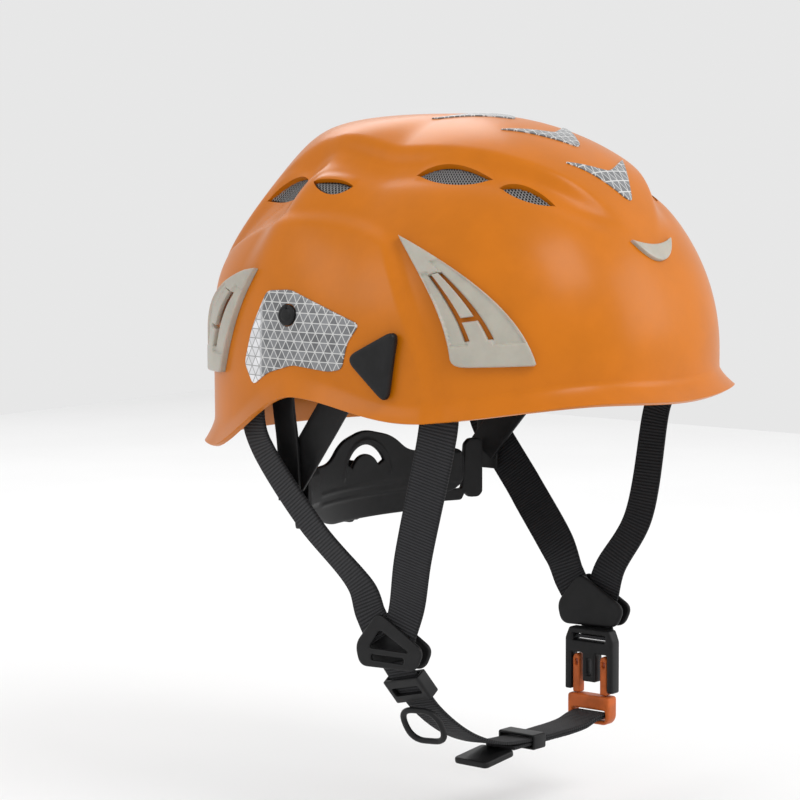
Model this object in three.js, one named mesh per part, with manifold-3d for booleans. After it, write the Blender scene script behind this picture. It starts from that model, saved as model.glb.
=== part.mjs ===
// Arborist climbing helmet with a four-point chin strap.
// Millimetres, +Z up, the brow towards -Y and the wearer's right towards -X.
// The origin is the centre of the head opening at brow level.
import * as THREE from "three";
import { mergeVertices } from "three/addons/utils/BufferGeometryUtils.js";
import Module from "manifold-3d";

const wasm = await Module();
wasm.setup();

// Shell: a dome whose plan and profile are superellipses, 3 mm thick.
const HALF_WIDTH = 110;
const FRONT_LENGTH = 131;
const REAR_LENGTH = 131;
const PLAN_POWER = 2.4;
const DOME_HEIGHT = 117;
const FRONT_POWER = 2.05;
const REAR_POWER = 3;
const SHELL_THICKNESS = 3;

// The rear of the crown is cut by a slope, given by its normal and its distance from the origin.
const SLOPE_OUT = 0.79;
const SLOPE_UP = 0.612;
const SLOPE_DISTANCE = 128;
const SLOPE_FADE = 60;
const SLOPE_SHARPNESS = 30;

// The edge of the shell rises and falls round the head: [degrees from the brow, height].
const RIM_TURNS = [[0, -19], [25, -17], [68, -27], [101, -18], [135, -49], [180, -49]];
const BRIM_FLARE = 4.5;
const SIDE_FLARE = 3.5;
const NAPE_FLARE = 2;
const RIM_BAND = 9;

// The raised band along the crown.
const BAND_HALF_WIDTH = 62;
const BAND_LIFT = 4.5;
const BAND_CENTRE_Y = 20;
const BAND_REACH = 136;
const VALLEY_DEPTH = 2.2;

// The raised panel over each ear.
const EAR_LIFT = 3.2;
const EAR_CENTRE_DEG = 105;
const EAR_TOP = 72;

// Headband: an oval round the brow.
const HEAD_HALF_WIDTH = 84;
const HEAD_FRONT = 104;
const BAND_THICK = 1.8;

// Nape cradle: a plate bent round a vertical axis, its racks and its dial.
const NAPE_RADIUS = 145;
const NAPE_CENTRE_Y = -75;
const CRADLE_THICK = 2.5;
const RACK_THICK = 2.4;
const PINION_RADIUS = 3.2;
const DIAL_Z = -82.5;
const DIAL_RADIUS = 17;

// Webbing and hardware of the chin strap.
const WEBBING = 20;
const WEBBING_THICK = 1.6;
const SLOT_GAP = 0.6;
const DIVIDER_RIGHT = { side: -1, x: 76, y: -11, z: -143 };
const DIVIDER_LEFT = { side: 1, x: 74.5, y: -30, z: -141 };
const BUCKLE = { x: 68, y: -33, top: -155 };

const RADIANS = Math.PI / 180;
const POLE = Math.PI / 2;

function smooth(value, from, to) {
  const t = Math.min(Math.max((value - from) / (to - from), 0), 1);
  return t * t * (3 - 2 * t);
}

// The angle from the brow in degrees, the same on both sides.
function fromBrow(theta) {
  const turn = Math.abs(theta) % (2 * Math.PI);
  return Math.min(turn, 2 * Math.PI - turn) / RADIANS;
}

function rimHeight(theta) {
  const angle = fromBrow(theta);
  for (let i = 1; i < RIM_TURNS.length; i += 1) {
    const [start, low] = RIM_TURNS[i - 1];
    const [end, high] = RIM_TURNS[i];
    if (angle <= end) return low + (high - low) * smooth(angle, start, end);
  }
  return RIM_TURNS[RIM_TURNS.length - 1][1];
}

function planRadius(theta) {
  const across = Math.abs(Math.sin(theta)) / HALF_WIDTH;
  const forward = Math.cos(theta);
  const along = Math.abs(forward) / (forward > 0 ? FRONT_LENGTH : REAR_LENGTH);
  return (across ** PLAN_POWER + along ** PLAN_POWER) ** (-1 / PLAN_POWER);
}

// Distance from the origin to the plain dome, at azimuth theta and elevation phi.
function domeRadius(theta, phi) {
  const reach = planRadius(theta);
  const flat = Math.cos(phi);
  const rise = Math.sin(phi);
  if (rise < 0) return reach / Math.max(flat, 1e-6);
  const rearward = -Math.cos(theta);
  const power = FRONT_POWER + (REAR_POWER - FRONT_POWER) * smooth(rearward, -0.1, 0.8);
  const dome = ((flat / reach) ** power + (rise / DOME_HEIGHT) ** power) ** (-1 / power);
  const distance = SLOPE_DISTANCE + SLOPE_FADE * (1 - smooth(rearward, 0, 0.6));
  const slope = distance / ((SLOPE_OUT * REAR_LENGTH * flat) / reach + SLOPE_UP * rise);
  return (dome ** -SLOPE_SHARPNESS + slope ** -SLOPE_SHARPNESS) ** (-1 / SLOPE_SHARPNESS);
}

function bandHalfWidth(y, z) {
  if (y > BAND_CENTRE_Y) return BAND_HALF_WIDTH - 8 * smooth(100 - z, 0, 120);
  const t = Math.max((y - BAND_CENTRE_Y) / BAND_REACH, -1);
  return BAND_HALF_WIDTH * (1 - t * t) ** 0.6;
}

// How far the band, the valley beside it and the ear panel stand off the plain dome.
function relief(x, y, z, theta) {
  const width = bandHalfWidth(y, z);
  const inside = width - Math.abs(x);
  const noseFade = smooth(y, -118, -78);
  const band = BAND_LIFT * smooth(inside, -4, 5) * smooth(z, -5, 45) * noseFade;
  const besideBand = Math.exp(-(((inside + 9) / 7) ** 2));
  const valley = VALLEY_DEPTH * besideBand * smooth(z, 50, 75) * smooth(width, 10, 30);
  const angle = fromBrow(theta);
  const panelTop = EAR_TOP - 0.012 * (angle - EAR_CENTRE_DEG) ** 2;
  const panelFront = 60 + 15 * Math.min(Math.max((z + 10) / 71, 0), 1) ** 1.3;
  const panelFade = 1 - smooth(angle, 140, 160);
  const panel = smooth(panelTop - z, -3, 7) * smooth(angle - panelFront, -1.5, 4) * panelFade;
  return band - valley + EAR_LIFT * panel;
}

function flare(theta, z) {
  const angle = fromBrow(theta);
  const amount = SIDE_FLARE + BRIM_FLARE * (1 - smooth(angle, 25, 60)) + NAPE_FLARE * smooth(angle, 110, 135);
  const band = RIM_BAND + 3 * smooth(angle, 70, 95);
  const above = Math.max(z - rimHeight(theta), 0);
  return amount * Math.max(1 - above / band, 0) ** 1.4;
}

// A point of the shell's outer face.
function shellPoint(theta, phi) {
  const dome = domeRadius(theta, phi);
  const flat = dome * Math.cos(phi);
  const z = dome * Math.sin(phi);
  const stand = relief(-flat * Math.sin(theta), -flat * Math.cos(theta), z, theta);
  const radius = dome + stand;
  const height = radius * Math.sin(phi);
  const out = radius * Math.cos(phi) + flare(theta, height);
  return new THREE.Vector3(-out * Math.sin(theta), -out * Math.cos(theta), height);
}

function elevationWhere(test) {
  let low = -0.6;
  let high = POLE;
  for (let i = 0; i < 40; i += 1) {
    const middle = (low + high) / 2;
    if (test(middle)) high = middle;
    else low = middle;
  }
  return (low + high) / 2;
}

// Two ways to name a place on the shell: degrees round from the brow with a height, or x with y.
function sidePlace(degrees, z) {
  const theta = degrees * RADIANS;
  return [theta, elevationWhere((phi) => shellPoint(theta, phi).z > z)];
}

function topPlace(x, y) {
  const theta = Math.atan2(-x, -y);
  const reach = Math.hypot(x, y);
  const outward = (phi) => Math.hypot(shellPoint(theta, phi).x, shellPoint(theta, phi).y);
  return [theta, elevationWhere((phi) => phi > 0 && outward(phi) < reach)];
}

function shellNormal(theta, phi) {
  if (phi > POLE - 0.02) return new THREE.Vector3(0, 0, 1);
  const step = 0.008;
  const round = shellPoint(theta + step, phi).sub(shellPoint(theta - step, phi));
  const up = shellPoint(theta, phi + step).sub(shellPoint(theta, phi - step));
  const normal = new THREE.Vector3().crossVectors(up, round).normalize();
  return normal.dot(shellPoint(theta, phi)) < 0 ? normal.negate() : normal;
}

function offShell([theta, phi], distance) {
  return shellPoint(theta, phi).addScaledVector(shellNormal(theta, phi), distance);
}

// Solids to and from manifold-3d, which joins and cuts them.
function toSolid(geometry) {
  const bare = geometry.index ? geometry.toNonIndexed() : geometry.clone();
  for (const name of Object.keys(bare.attributes)) {
    if (name !== "position") bare.deleteAttribute(name);
  }
  const merged = mergeVertices(bare, 1e-4);
  const mesh = new wasm.Mesh({
    numProp: 3,
    vertProperties: merged.attributes.position.array,
    triVerts: new Uint32Array(merged.index.array),
  });
  return new wasm.Manifold(mesh);
}

function toGeometry(solid) {
  const mesh = solid.getMesh();
  const geometry = new THREE.BufferGeometry();
  geometry.setAttribute("position", new THREE.BufferAttribute(new Float32Array(mesh.vertProperties), 3));
  geometry.setIndex(new THREE.BufferAttribute(new Uint32Array(mesh.triVerts), 1));
  const flat = geometry.toNonIndexed();
  flat.computeVertexNormals();
  return flat;
}

const joined = (first, ...others) => others.reduce((all, next) => all.add(next), first);
const cut = (first, ...others) => others.reduce((all, next) => all.subtract(next), first);

// A solid from the corners of its triangles, turned to face outwards.
function fromCorners(corners) {
  const geometry = new THREE.BufferGeometry();
  geometry.setAttribute("position", new THREE.Float32BufferAttribute(corners, 3));
  const solid = toSolid(geometry);
  return solid.volume() < 0 ? toSolid(turnedInsideOut(geometry)) : solid;
}

function turnedInsideOut(geometry) {
  const values = geometry.attributes.position.array.slice();
  for (let i = 0; i < values.length; i += 9) {
    for (let k = 0; k < 3; k += 1) {
      [values[i + 3 + k], values[i + 6 + k]] = [values[i + 6 + k], values[i + 3 + k]];
    }
  }
  return new THREE.BufferGeometry().setAttribute("position", new THREE.BufferAttribute(values, 3));
}

// A closed solid from rings of points. Each ring is a low row and a high row of equal length,
// so an end is closed by quads between the two rows.
function skinned(rings) {
  const size = rings[0].length;
  const corners = [];
  const face = (...points) => points.forEach((p) => corners.push(...p.toArray()));
  for (let r = 1; r < rings.length; r += 1) {
    for (let i = 0; i < size; i += 1) {
      const next = (i + 1) % size;
      face(rings[r - 1][i], rings[r - 1][next], rings[r][next]);
      face(rings[r - 1][i], rings[r][next], rings[r][i]);
    }
  }
  for (const [ring, first] of [[rings[0], true], [rings[rings.length - 1], false]]) {
    for (let i = 0; i < size / 2 - 1; i += 1) {
      const [a, b, c, d] = [ring[i], ring[i + 1], ring[size - 2 - i], ring[size - 1 - i]];
      const quad = first ? [a, c, b, a, d, c] : [a, b, c, a, c, d];
      face(...quad);
    }
  }
  return fromCorners(corners);
}

// A flat strip of constant width and thickness along a line of [x, y, z] points.
// The width turns evenly from startAcross to endAcross, squared to the line at each point.
function strip(points, startAcross, width, thickness, smoothSteps = 0, endAcross = startAcross) {
  let line = points.map((p) => new THREE.Vector3(...p));
  if (smoothSteps) line = new THREE.CatmullRomCurve3(line, false, "centripetal").getPoints(smoothSteps);
  const rings = line.map((point, i) => {
    const share = i / (line.length - 1);
    const side = new THREE.Vector3(...startAcross).lerp(new THREE.Vector3(...endAcross), share);
    const before = line[Math.max(i - 1, 0)];
    const after = line[Math.min(i + 1, line.length - 1)];
    const along = after.clone().sub(before).normalize();
    const wide = side.clone().addScaledVector(along, -side.dot(along)).normalize();
    const thick = new THREE.Vector3().crossVectors(along, wide);
    return [[-1, -1], [1, -1], [1, 1], [-1, 1]].map(([a, b]) =>
      point.clone().addScaledVector(wide, (a * width) / 2).addScaledVector(thick, (b * thickness) / 2));
  });
  return skinned(rings);
}

function box(sizeX, sizeY, sizeZ, x = 0, y = 0, z = 0) {
  return toSolid(new THREE.BoxGeometry(sizeX, sizeY, sizeZ).translate(x, y, z));
}

function extruded(points, depth) {
  const shape = new THREE.Shape(points.map(([x, y]) => new THREE.Vector2(x, y)));
  return new THREE.ExtrudeGeometry(shape, { depth, bevelEnabled: false });
}

// A plate with holes, drawn in a plane and turned to its place by a matrix.
function plate(points, depth, holes, matrix) {
  const body = toSolid(extruded(points, depth).applyMatrix4(matrix));
  const through = (hole) => extruded(hole, depth + 2).translate(0, 0, -1).applyMatrix4(matrix);
  const cutters = holes.map((hole) => toSolid(through(hole)));
  return cut(body, ...cutters);
}

// A flat plate in the plane of y and z whose thickness runs along x from "from" to "to".
function sidePlate(points, from, to, holes = []) {
  const upright = new THREE.Matrix4().makeBasis(
    new THREE.Vector3(0, 1, 0), new THREE.Vector3(0, 0, 1), new THREE.Vector3(1, 0, 0));
  upright.setPosition(Math.min(from, to), 0, 0);
  return plate(points, Math.abs(to - from), holes, upright);
}

function roundedPolygon(corners, radius, steps = 3) {
  const points = [];
  corners.forEach((corner, i) => {
    const here = new THREE.Vector2(...corner);
    const before = new THREE.Vector2(...corners[(i + corners.length - 1) % corners.length]);
    const after = new THREE.Vector2(...corners[(i + 1) % corners.length]);
    const reach = Math.min(radius, here.distanceTo(before) / 2.1, here.distanceTo(after) / 2.1);
    const start = here.clone().add(before.sub(here).setLength(reach));
    const end = here.clone().add(after.sub(here).setLength(reach));
    const bend = new THREE.QuadraticBezierCurve(start, here, end);
    points.push(...bend.getPoints(steps).map((p) => [p.x, p.y]));
  });
  return points;
}

function rectangle(centreX, centreY, width, height, radius = 1.5) {
  const [w, h] = [width / 2, height / 2];
  const corners = [[-w, -h], [w, -h], [w, h], [-w, h]].map(([x, y]) => [centreX + x, centreY + y]);
  return roundedPolygon(corners, radius, 2);
}

function disc(radius, depth, sides = 20) {
  return new THREE.CylinderGeometry(radius, radius, depth, sides);
}

// The points of a bent edge from a to b whose middle passes through the given point.
function bentEdge(a, middle, b, steps) {
  const control = [2 * middle[0] - (a[0] + b[0]) / 2, 2 * middle[1] - (a[1] + b[1]) / 2];
  const curve = new THREE.QuadraticBezierCurve(
    new THREE.Vector2(...a), new THREE.Vector2(...control), new THREE.Vector2(...b));
  return curve.getPoints(steps).map((p) => [p.x, p.y]).slice(0, -1);
}

// A prism square to the shell at the middle of an outline of places.
function prism(place, outline, inner, outer) {
  const spots = outline.map(([u, v]) => offShell(place(u, v), 0));
  const middle = spots.reduce((sum, p) => sum.add(p), new THREE.Vector3()).divideScalar(spots.length);
  const centreU = outline.reduce((sum, p) => sum + p[0], 0) / outline.length;
  const centreV = outline.reduce((sum, p) => sum + p[1], 0) / outline.length;
  const normal = shellNormal(...place(centreU, centreV));
  const right = new THREE.Vector3(0, 0, 1).cross(normal);
  if (right.length() < 0.2) right.set(1, 0, 0).addScaledVector(normal, -normal.x);
  right.normalize();
  const up = new THREE.Vector3().crossVectors(normal, right);
  const flat = spots.map((p) => {
    const offset = p.clone().sub(middle);
    return [offset.dot(right), offset.dot(up)];
  });
  const geometry = extruded(flat, outer - inner);
  geometry.translate(0, 0, inner);
  geometry.applyMatrix4(new THREE.Matrix4().makeBasis(right, up, normal).setPosition(middle));
  return toSolid(geometry);
}

// The whole dome between two distances off a surface, down to heights above the shell's edge.
// at(theta, phi, distance) gives the surface's points.
function domeLayer({ at, inner, outer, columns, rows, heights }) {
  const gridAt = (distance) => Array.from({ length: columns }, (_, i) => {
    const theta = (i / columns) * 2 * Math.PI;
    const edge = rimHeight(theta);
    const levels = heights.map((height) => elevationWhere((phi) => at(theta, phi, 0).z > edge + height));
    const start = levels[levels.length - 1];
    for (let j = 1; j < rows; j += 1) levels.push(start + ((POLE - start) * j) / rows);
    return levels.map((phi) => at(theta, phi, distance));
  });
  const corners = [];
  const face = (...points) => points.forEach((p) => corners.push(...p.toArray()));
  // Both halves split their quads alike, so that the right side is the left side's mirror image.
  const quad = (a, b, c, d, fromFirst) => (fromFirst ? face(a, b, c, a, c, d) : face(b, c, d, b, d, a));
  const outside = gridAt(outer);
  const inside = gridAt(inner);
  for (let i = 0; i < columns; i += 1) {
    const k = (i + 1) % columns;
    const last = outside[i].length - 1;
    for (let j = 1; j <= last; j += 1) {
      quad(outside[i][j - 1], outside[i][j], outside[k][j], outside[k][j - 1], i < columns / 2);
      quad(inside[k][j - 1], inside[k][j], inside[i][j], inside[i][j - 1], i >= columns / 2);
    }
    face(outside[i][last], at(0, POLE, outer), outside[k][last]);
    face(inside[i][last], inside[k][last], at(0, POLE, inner));
    face(inside[i][0], outside[i][0], outside[k][0]);
    face(inside[i][0], outside[k][0], inside[k][0]);
  }
  return fromCorners(corners);
}

const onShell = (theta, phi, distance) => offShell([theta, phi], distance);

// Every skin that follows the shell shares its facets, so that skins at different distances never cross.
function skinLayer(inner, outer) {
  return domeLayer({ at: onShell, inner, outer, columns: 54, rows: 11, heights: [0, 4.5, 9, 14] });
}

// A patch that follows the shell inside an outline.
const PATCH_REACH = 25;
function patch(place, outline, inner, outer) {
  return skinLayer(inner, outer).intersect(prism(place, outline, -PATCH_REACH, PATCH_REACH));
}

// The plain dome, without the raised bands, panels and flare.
function onPlainDome(theta, phi, distance) {
  const radius = domeRadius(theta, phi) + distance;
  const out = radius * Math.cos(phi);
  return new THREE.Vector3(-out * Math.sin(theta), -out * Math.cos(theta), radius * Math.sin(phi));
}

// The group, its finishes and a helper that adds one named piece.
const helmet = new THREE.Group();
const finish = (color, roughness) => new THREE.MeshStandardMaterial({ color, roughness, metalness: 0 });
const ORANGE = finish(0xd9741a, 0.35);
const BLACK = finish(0x2c2c2e, 0.5);
const GREY = finish(0xaeaba2, 0.4);
const SILVER = finish(0xb9bcc0, 0.3);
const FOAM = finish(0x3a3a3c, 0.9);
const FABRIC = finish(0x242426, 0.95);
const BUCKLE_ORANGE = finish(0xc2622a, 0.45);
const MESH_GREY = finish(0x5c5a55, 0.5);

function place(name, solid, material) {
  const mesh = new THREE.Mesh(toGeometry(solid), material);
  mesh.name = name;
  helmet.add(mesh);
}

// Adds a piece of the wearer's right side and its mirror image on the left.
function placePair(name, solid, material) {
  place(`${name}_right`, solid, material);
  const mesh = new THREE.Mesh(toGeometry(solid), material);
  mesh.scale.x = -1;
  mesh.name = `${name}_left`;
  helmet.add(mesh);
}

// Vents of the right side: two tips, the middle of the upper edge and the middle of the lower edge.
const VENTS = [
  { rear: [144, 76], front: [120, 80.5], upper: [131, 88.5], lower: [131, 76.2] },
  { rear: [113, 87.5], front: [98, 85.5], upper: [105, 88], lower: [104, 81.5] },
  { rear: [74.5, 91], front: [43.8, 89.3], upper: [59, 95.6], lower: [58, 86.9] },
  { rear: [42.6, 85.4], front: [27, 76.4], upper: [33.6, 85.2], lower: [35.4, 78.9] },
];

function ventOutline({ rear, front, upper, lower }, shrink = 0) {
  const middle = [(rear[0] + front[0]) / 2, (upper[1] + lower[1]) / 2];
  const outline = [...bentEdge(rear, upper, front, 4), ...bentEdge(front, lower, rear, 4)];
  return outline.map(([u, v]) => [u + (middle[0] - u) * shrink, v + (middle[1] - v) * shrink]);
}

// Lamp clips: rear and front edges, each given by foot, middle and tip.
const FRONT_CLIP = { rear: [[56.5, -1], [61, 31], [73, 62]], front: [[38, 0], [49, 36], [73, 62]] };
const REAR_CLIP = { rear: [[146, -14], [138, 25], [117, 44]], front: [[131, -12], [124, 18.7], [117, 44]] };
const CLIP_LIFT = 0.4;
const CLIP_THICK = 3.2;
const CLIP_WINDOW = { low: 0.2, high: 0.68, rear: 0.24, front: 0.62 };
const CLIP_TONGUE = { gap: 0.36, rear: 0.33, front: 0.53, root: 0.665 };

function bentPoint([a, middle, b], t) {
  const control = [2 * middle[0] - (a[0] + b[0]) / 2, 2 * middle[1] - (a[1] + b[1]) / 2];
  return [0, 1].map((k) => (1 - t) ** 2 * a[k] + 2 * t * (1 - t) * control[k] + t * t * b[k]);
}

// A place on a clip: across runs from its rear edge to its front edge, along from foot to tip.
function clipPlace(clip, across, along) {
  const rear = bentPoint(clip.rear, along);
  const front = bentPoint(clip.front, along);
  return [rear[0] + (front[0] - rear[0]) * across, rear[1] + (front[1] - rear[1]) * across];
}

// Places up or down a clip at one distance across it.
function clipRun(clip, across, from, to, steps) {
  const along = (i) => from + ((to - from) * i) / steps;
  return Array.from({ length: steps + 1 }, (_, i) => clipPlace(clip, across, along(i)));
}

function clipOutline(clip) {
  const foot = 0.02;
  const shoulder = 0.9;
  const tip = clipPlace(clip, 0.5, 0.995);
  return [...clipRun(clip, 0, foot, shoulder, 5), tip, ...clipRun(clip, 1, shoulder, foot, 5)];
}

// The opening of a clip: a slot each side of its tongue and of the fixed lug below it,
// joined across the gap between the two.
function clipWindow(clip) {
  const { low, high, rear, front } = CLIP_WINDOW;
  const gap = CLIP_TONGUE.gap - 0.03;
  const inset = 0.02;
  return [
    ...clipRun(clip, rear, low, high, 4), ...clipRun(clip, front, high, low, 4),
    ...clipRun(clip, CLIP_TONGUE.front + inset, low, gap, 1),
    ...clipRun(clip, CLIP_TONGUE.rear - inset, gap, low, 1),
  ];
}

function clipTongue(clip) {
  const { gap, rear, front, root } = CLIP_TONGUE;
  return [...clipRun(clip, rear, gap, root, 2), ...clipRun(clip, front, root, gap, 2)];
}

// Reflective patch, plugs and crown marks.
const SIDE_PATCH = [
  [112, 33.5], [104, 34.6], [80.8, 19.5], [84.2, 10], [85.8, -3], [90, -4.6], [102, -2.6], [111, -7.6],
  [116.5, -14.6], [120, -4], [117, 13.7],
];
const ROUND_PLUG = [104, 22];
const ROUND_PLUG_RADIUS = 5.2;
const SIDE_PLUG = [[84, 3], [68.6, 18.6], [71.4, -19]];
const SIDE_PLUG_CORNER = 7;
const SIDE_PLUG_TRAVEL_GAP = 0.4;
const ACCESSORY_SLOT = [[80, 0], [73, 8], [73, -6]];
const CHEVRONS = [
  { name: "crown_mark_top", tipX: 28, tipY: 3, outerY: -32, innerY: -14 },
  { name: "crown_mark_middle", tipX: 28, tipY: -41, outerY: -72, innerY: -55 },
  { name: "crown_mark_front", tipX: 26, tipY: -79, outerY: -103, innerY: -88.5 },
];
const BADGE = { tip: [8.6, 59.2], low: 48.8, high: 56.6 };

function buildShell() {
  let shell = skinLayer(-SHELL_THICKNESS, 0);
  const mirror = (solid) => toSolid(turnedInsideOut(toGeometry(solid).scale(-1, 1, 1)));
  const holes = VENTS.map((vent) => prism(sidePlace, ventOutline(vent), -PATCH_REACH, 12));
  holes.push(prism(sidePlace, roundedPolygon(ACCESSORY_SLOT, 1.5), -8, 8));
  for (const hole of holes) shell = cut(shell, hole, mirror(hole));
  place("outer_shell", shell, ORANGE);
  return { holes: holes.slice(0, VENTS.length), mirror };
}

const { holes: ventHoles, mirror } = buildShell();

// Foam liner under the shell, open where the vents are.
const LINER_OUTER = SHELL_THICKNESS + VALLEY_DEPTH + 1;
const LINER_INNER = 21;
const LINER_LIFT = 25;
function buildLiner() {
  let liner = domeLayer({
    at: onPlainDome, inner: -LINER_INNER, outer: -LINER_OUTER, columns: 36, rows: 7, heights: [LINER_LIFT],
  });
  for (const hole of ventHoles) liner = cut(liner, hole, mirror(hole));
  place("foam_liner", liner, FOAM);
}
buildLiner();

// Two strips of insect mesh a side, each behind two vents, held between the shell and the liner.
const MESH_STRIPS = [
  {
    name: "rear_vent_mesh",
    outline: [[148, 73], [146, 82], [130, 92], [96, 91], [95, 80], [114, 76], [130, 72]],
  },
  { name: "front_vent_mesh", outline: [[78, 91], [60, 99], [34, 90], [23.5, 79], [25.5, 72.5], [46, 80]] },
];
for (const { name, outline } of MESH_STRIPS) {
  placePair(name, patch(sidePlace, outline, -SHELL_THICKNESS - 1, -SHELL_THICKNESS - 0.4), MESH_GREY);
}

[["front", FRONT_CLIP], ["rear", REAR_CLIP]].forEach(([side, clip]) => {
  const body = patch(sidePlace, clipOutline(clip), CLIP_LIFT, CLIP_LIFT + CLIP_THICK);
  const window = prism(sidePlace, clipWindow(clip), -10, 12);
  placePair(`${side}_lamp_clip`, cut(body, window), GREY);
  const tongue = patch(sidePlace, clipTongue(clip), CLIP_LIFT + 0.9, CLIP_LIFT + CLIP_THICK + 0.3);
  placePair(`${side}_clip_tongue`, tongue, GREY);
});

function buildSideTrim() {
  const hole = prism(sidePlace, circlePlaces(ROUND_PLUG, ROUND_PLUG_RADIUS + 0.5), -10, 10);
  const sticker = cut(patch(sidePlace, roundedPolygon(SIDE_PATCH, 2, 2), 0.35, 1), hole);
  placePair("side_reflector", sticker, SILVER);
  placePair("round_plug", patch(sidePlace, circlePlaces(ROUND_PLUG, ROUND_PLUG_RADIUS), 0.35, 2.4), BLACK);
  const outline = roundedPolygon(SIDE_PLUG, SIDE_PLUG_CORNER, 3);
  const body = patch(sidePlace, outline, SIDE_PLUG_TRAVEL_GAP, 20);
  const faceX = sidePlateFace(outline);
  const flatCut = box(60, 80, 80, faceX - 30, shellPoint(76 * RADIANS, 0).y, 0);
  placePair("side_plug", cut(body, flatCut), BLACK);
}

// The flat outer face of the side plug stands this far out, just proud of the shell's highest point under it.
function sidePlateFace(outline) {
  const highest = Math.min(...outline.map(([u, v]) => offShell(sidePlace(u, v), 0).x));
  return highest - 3.4;
}

function circlePlaces([centreU, centreV], radius, sides = 14) {
  const perDegree = HALF_WIDTH * RADIANS;
  return Array.from({ length: sides }, (_, i) => {
    const angle = (i / sides) * 2 * Math.PI;
    return [centreU + (radius / perDegree) * Math.cos(angle), centreV + radius * Math.sin(angle)];
  });
}
buildSideTrim();

CHEVRONS.forEach(({ name, tipX, tipY, outerY, innerY }) => {
  const outer = bentEdge([-tipX, tipY], [-tipX * 0.42, (tipY + 2 * outerY) / 3 + 2], [0, outerY], 3);
  const inner = bentEdge([-tipX, tipY], [-tipX * 0.42, (tipY + 2 * innerY) / 3], [0, innerY], 3);
  const right = [...outer, [0, outerY]];
  const left = outer.map(([x, y]) => [-x, y]).reverse();
  const back = [...inner.slice(1).map(([x, y]) => [-x, y]), [0, innerY], ...inner.slice(1).reverse()];
  const mark = patch(topPlace, [...right, ...left, ...back], 0.35, 1);
  place(name, mark, SILVER);
});

function buildBadge() {
  const { tip, low, high } = BADGE;
  const lower = bentEdge([-tip[0], tip[1]], [0, low], tip, 8);
  const upper = bentEdge(tip, [0, high], [-tip[0], tip[1]], 8);
  place("front_badge", patch(sidePlace, [...lower, ...upper], 0.35, 2.2), GREY);
}
buildBadge();

// Headband: a plastic band round the brow, from temple to temple, with a foam pad inside it.
function ovalPoint(degrees, inset, z) {
  const theta = degrees * RADIANS;
  const [across, along] = [HEAD_HALF_WIDTH - inset, HEAD_FRONT - inset];
  return new THREE.Vector3(-across * Math.sin(theta), -along * Math.cos(theta), z);
}

function ovalBand(reach, steps, [inset, depth], [low, high]) {
  const rings = [];
  for (let i = 0; i <= steps; i += 1) {
    const angle = -reach + (2 * reach * i) / steps;
    rings.push([
      ovalPoint(angle, inset + depth, low), ovalPoint(angle, inset + depth, high),
      ovalPoint(angle, inset, high), ovalPoint(angle, inset, low),
    ]);
  }
  return skinned(rings);
}

place("brow_band", ovalBand(97, 24, [0, BAND_THICK], [-12, 14]), BLACK);
place("brow_pad", ovalBand(62, 16, [BAND_THICK + 0.4, 4], [-9, 11]), FABRIC);

// Pad under the crown of the liner, with two slots.
function buildCrownPad() {
  const layer = domeLayer({
    at: onPlainDome, inner: -LINER_INNER - 4.5, outer: -LINER_INNER - 0.5, columns: 36, rows: 7,
    heights: [LINER_LIFT],
  });
  const slots = [-17, 17].map((x) => rectangle(x, -5, 14, 70, 5));
  const above = new THREE.Matrix4().makeTranslation(0, 0, 55);
  const cutter = plate(rectangle(0, -5, 78, 124, 20), 100, slots, above);
  place("crown_pad", layer.intersect(cutter), FABRIC);
}
buildCrownPad();

// Side straps from the temples down to the cradle, and the arms that hang from the shell beside it.
placePair("side_strap", strip(
  [[-86.4, -2, -3], [-86.2, 12, -16], [-84.4, 28, -36], [-82, 44, -56], [-81.3, 51, -65]],
  [0, 0.786, 0.62], 18, 2, 7), BLACK);
placePair("hanging_arm", strip([
  [-90, 50, -15], [-88.8, 50, -28], [-86.2, 50, -44], [-85, 50, -58], [-84.8, 50, -76],
], [0, 1, 0], 14, 2, 7), BLACK);

// A bent block about the cradle's axis, cut to an outline of [x, z] places.
function napeSkin(inner, outer, outline, holes = []) {
  const steps = 14;
  const reach = 36 * RADIANS;
  const rings = [];
  for (let i = 0; i <= steps; i += 1) {
    const angle = -reach + (2 * reach * i) / steps;
    const at = (distance, z) => {
      const radius = NAPE_RADIUS + distance;
      return new THREE.Vector3(radius * Math.sin(angle), NAPE_CENTRE_Y + radius * Math.cos(angle), z);
    };
    rings.push([at(inner, -120), at(inner, -40), at(outer, -40), at(outer, -120)]);
  }
  const facing = new THREE.Matrix4().makeBasis(
    new THREE.Vector3(1, 0, 0), new THREE.Vector3(0, 0, 1), new THREE.Vector3(0, -1, 0));
  return skinned(rings).intersect(plate(outline, 120, holes, facing.setPosition(0, 120, 0)));
}

const ARCH_TOP = -48;
const CRADLE_OUTLINE = [
  [-67, -63], [-34, -63], [-22, -53], [0, ARCH_TOP], [22, -53], [34, -63], [67, -63], [67, -84], [34, -96],
  [-34, -96], [-67, -84],
];

function arcSlot(centreZ, inner, outer, reach, steps = 6) {
  const at = (radius, i) => {
    const angle = ((i / steps) * 2 - 1) * reach * RADIANS;
    return [radius * Math.sin(angle), centreZ + radius * Math.cos(angle)];
  };
  const along = Array.from({ length: steps + 1 }, (_, i) => at(outer, i));
  return [...along, ...Array.from({ length: steps + 1 }, (_, i) => at(inner, steps - i))];
}

const RACK_INNER = CRADLE_THICK / 2 + 0.5;
const RACK_OUTER = RACK_INNER + RACK_THICK;
const COVER_INNER = RACK_OUTER + 0.5;
const COVER_OUTER = COVER_INNER + 2.4;

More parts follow.
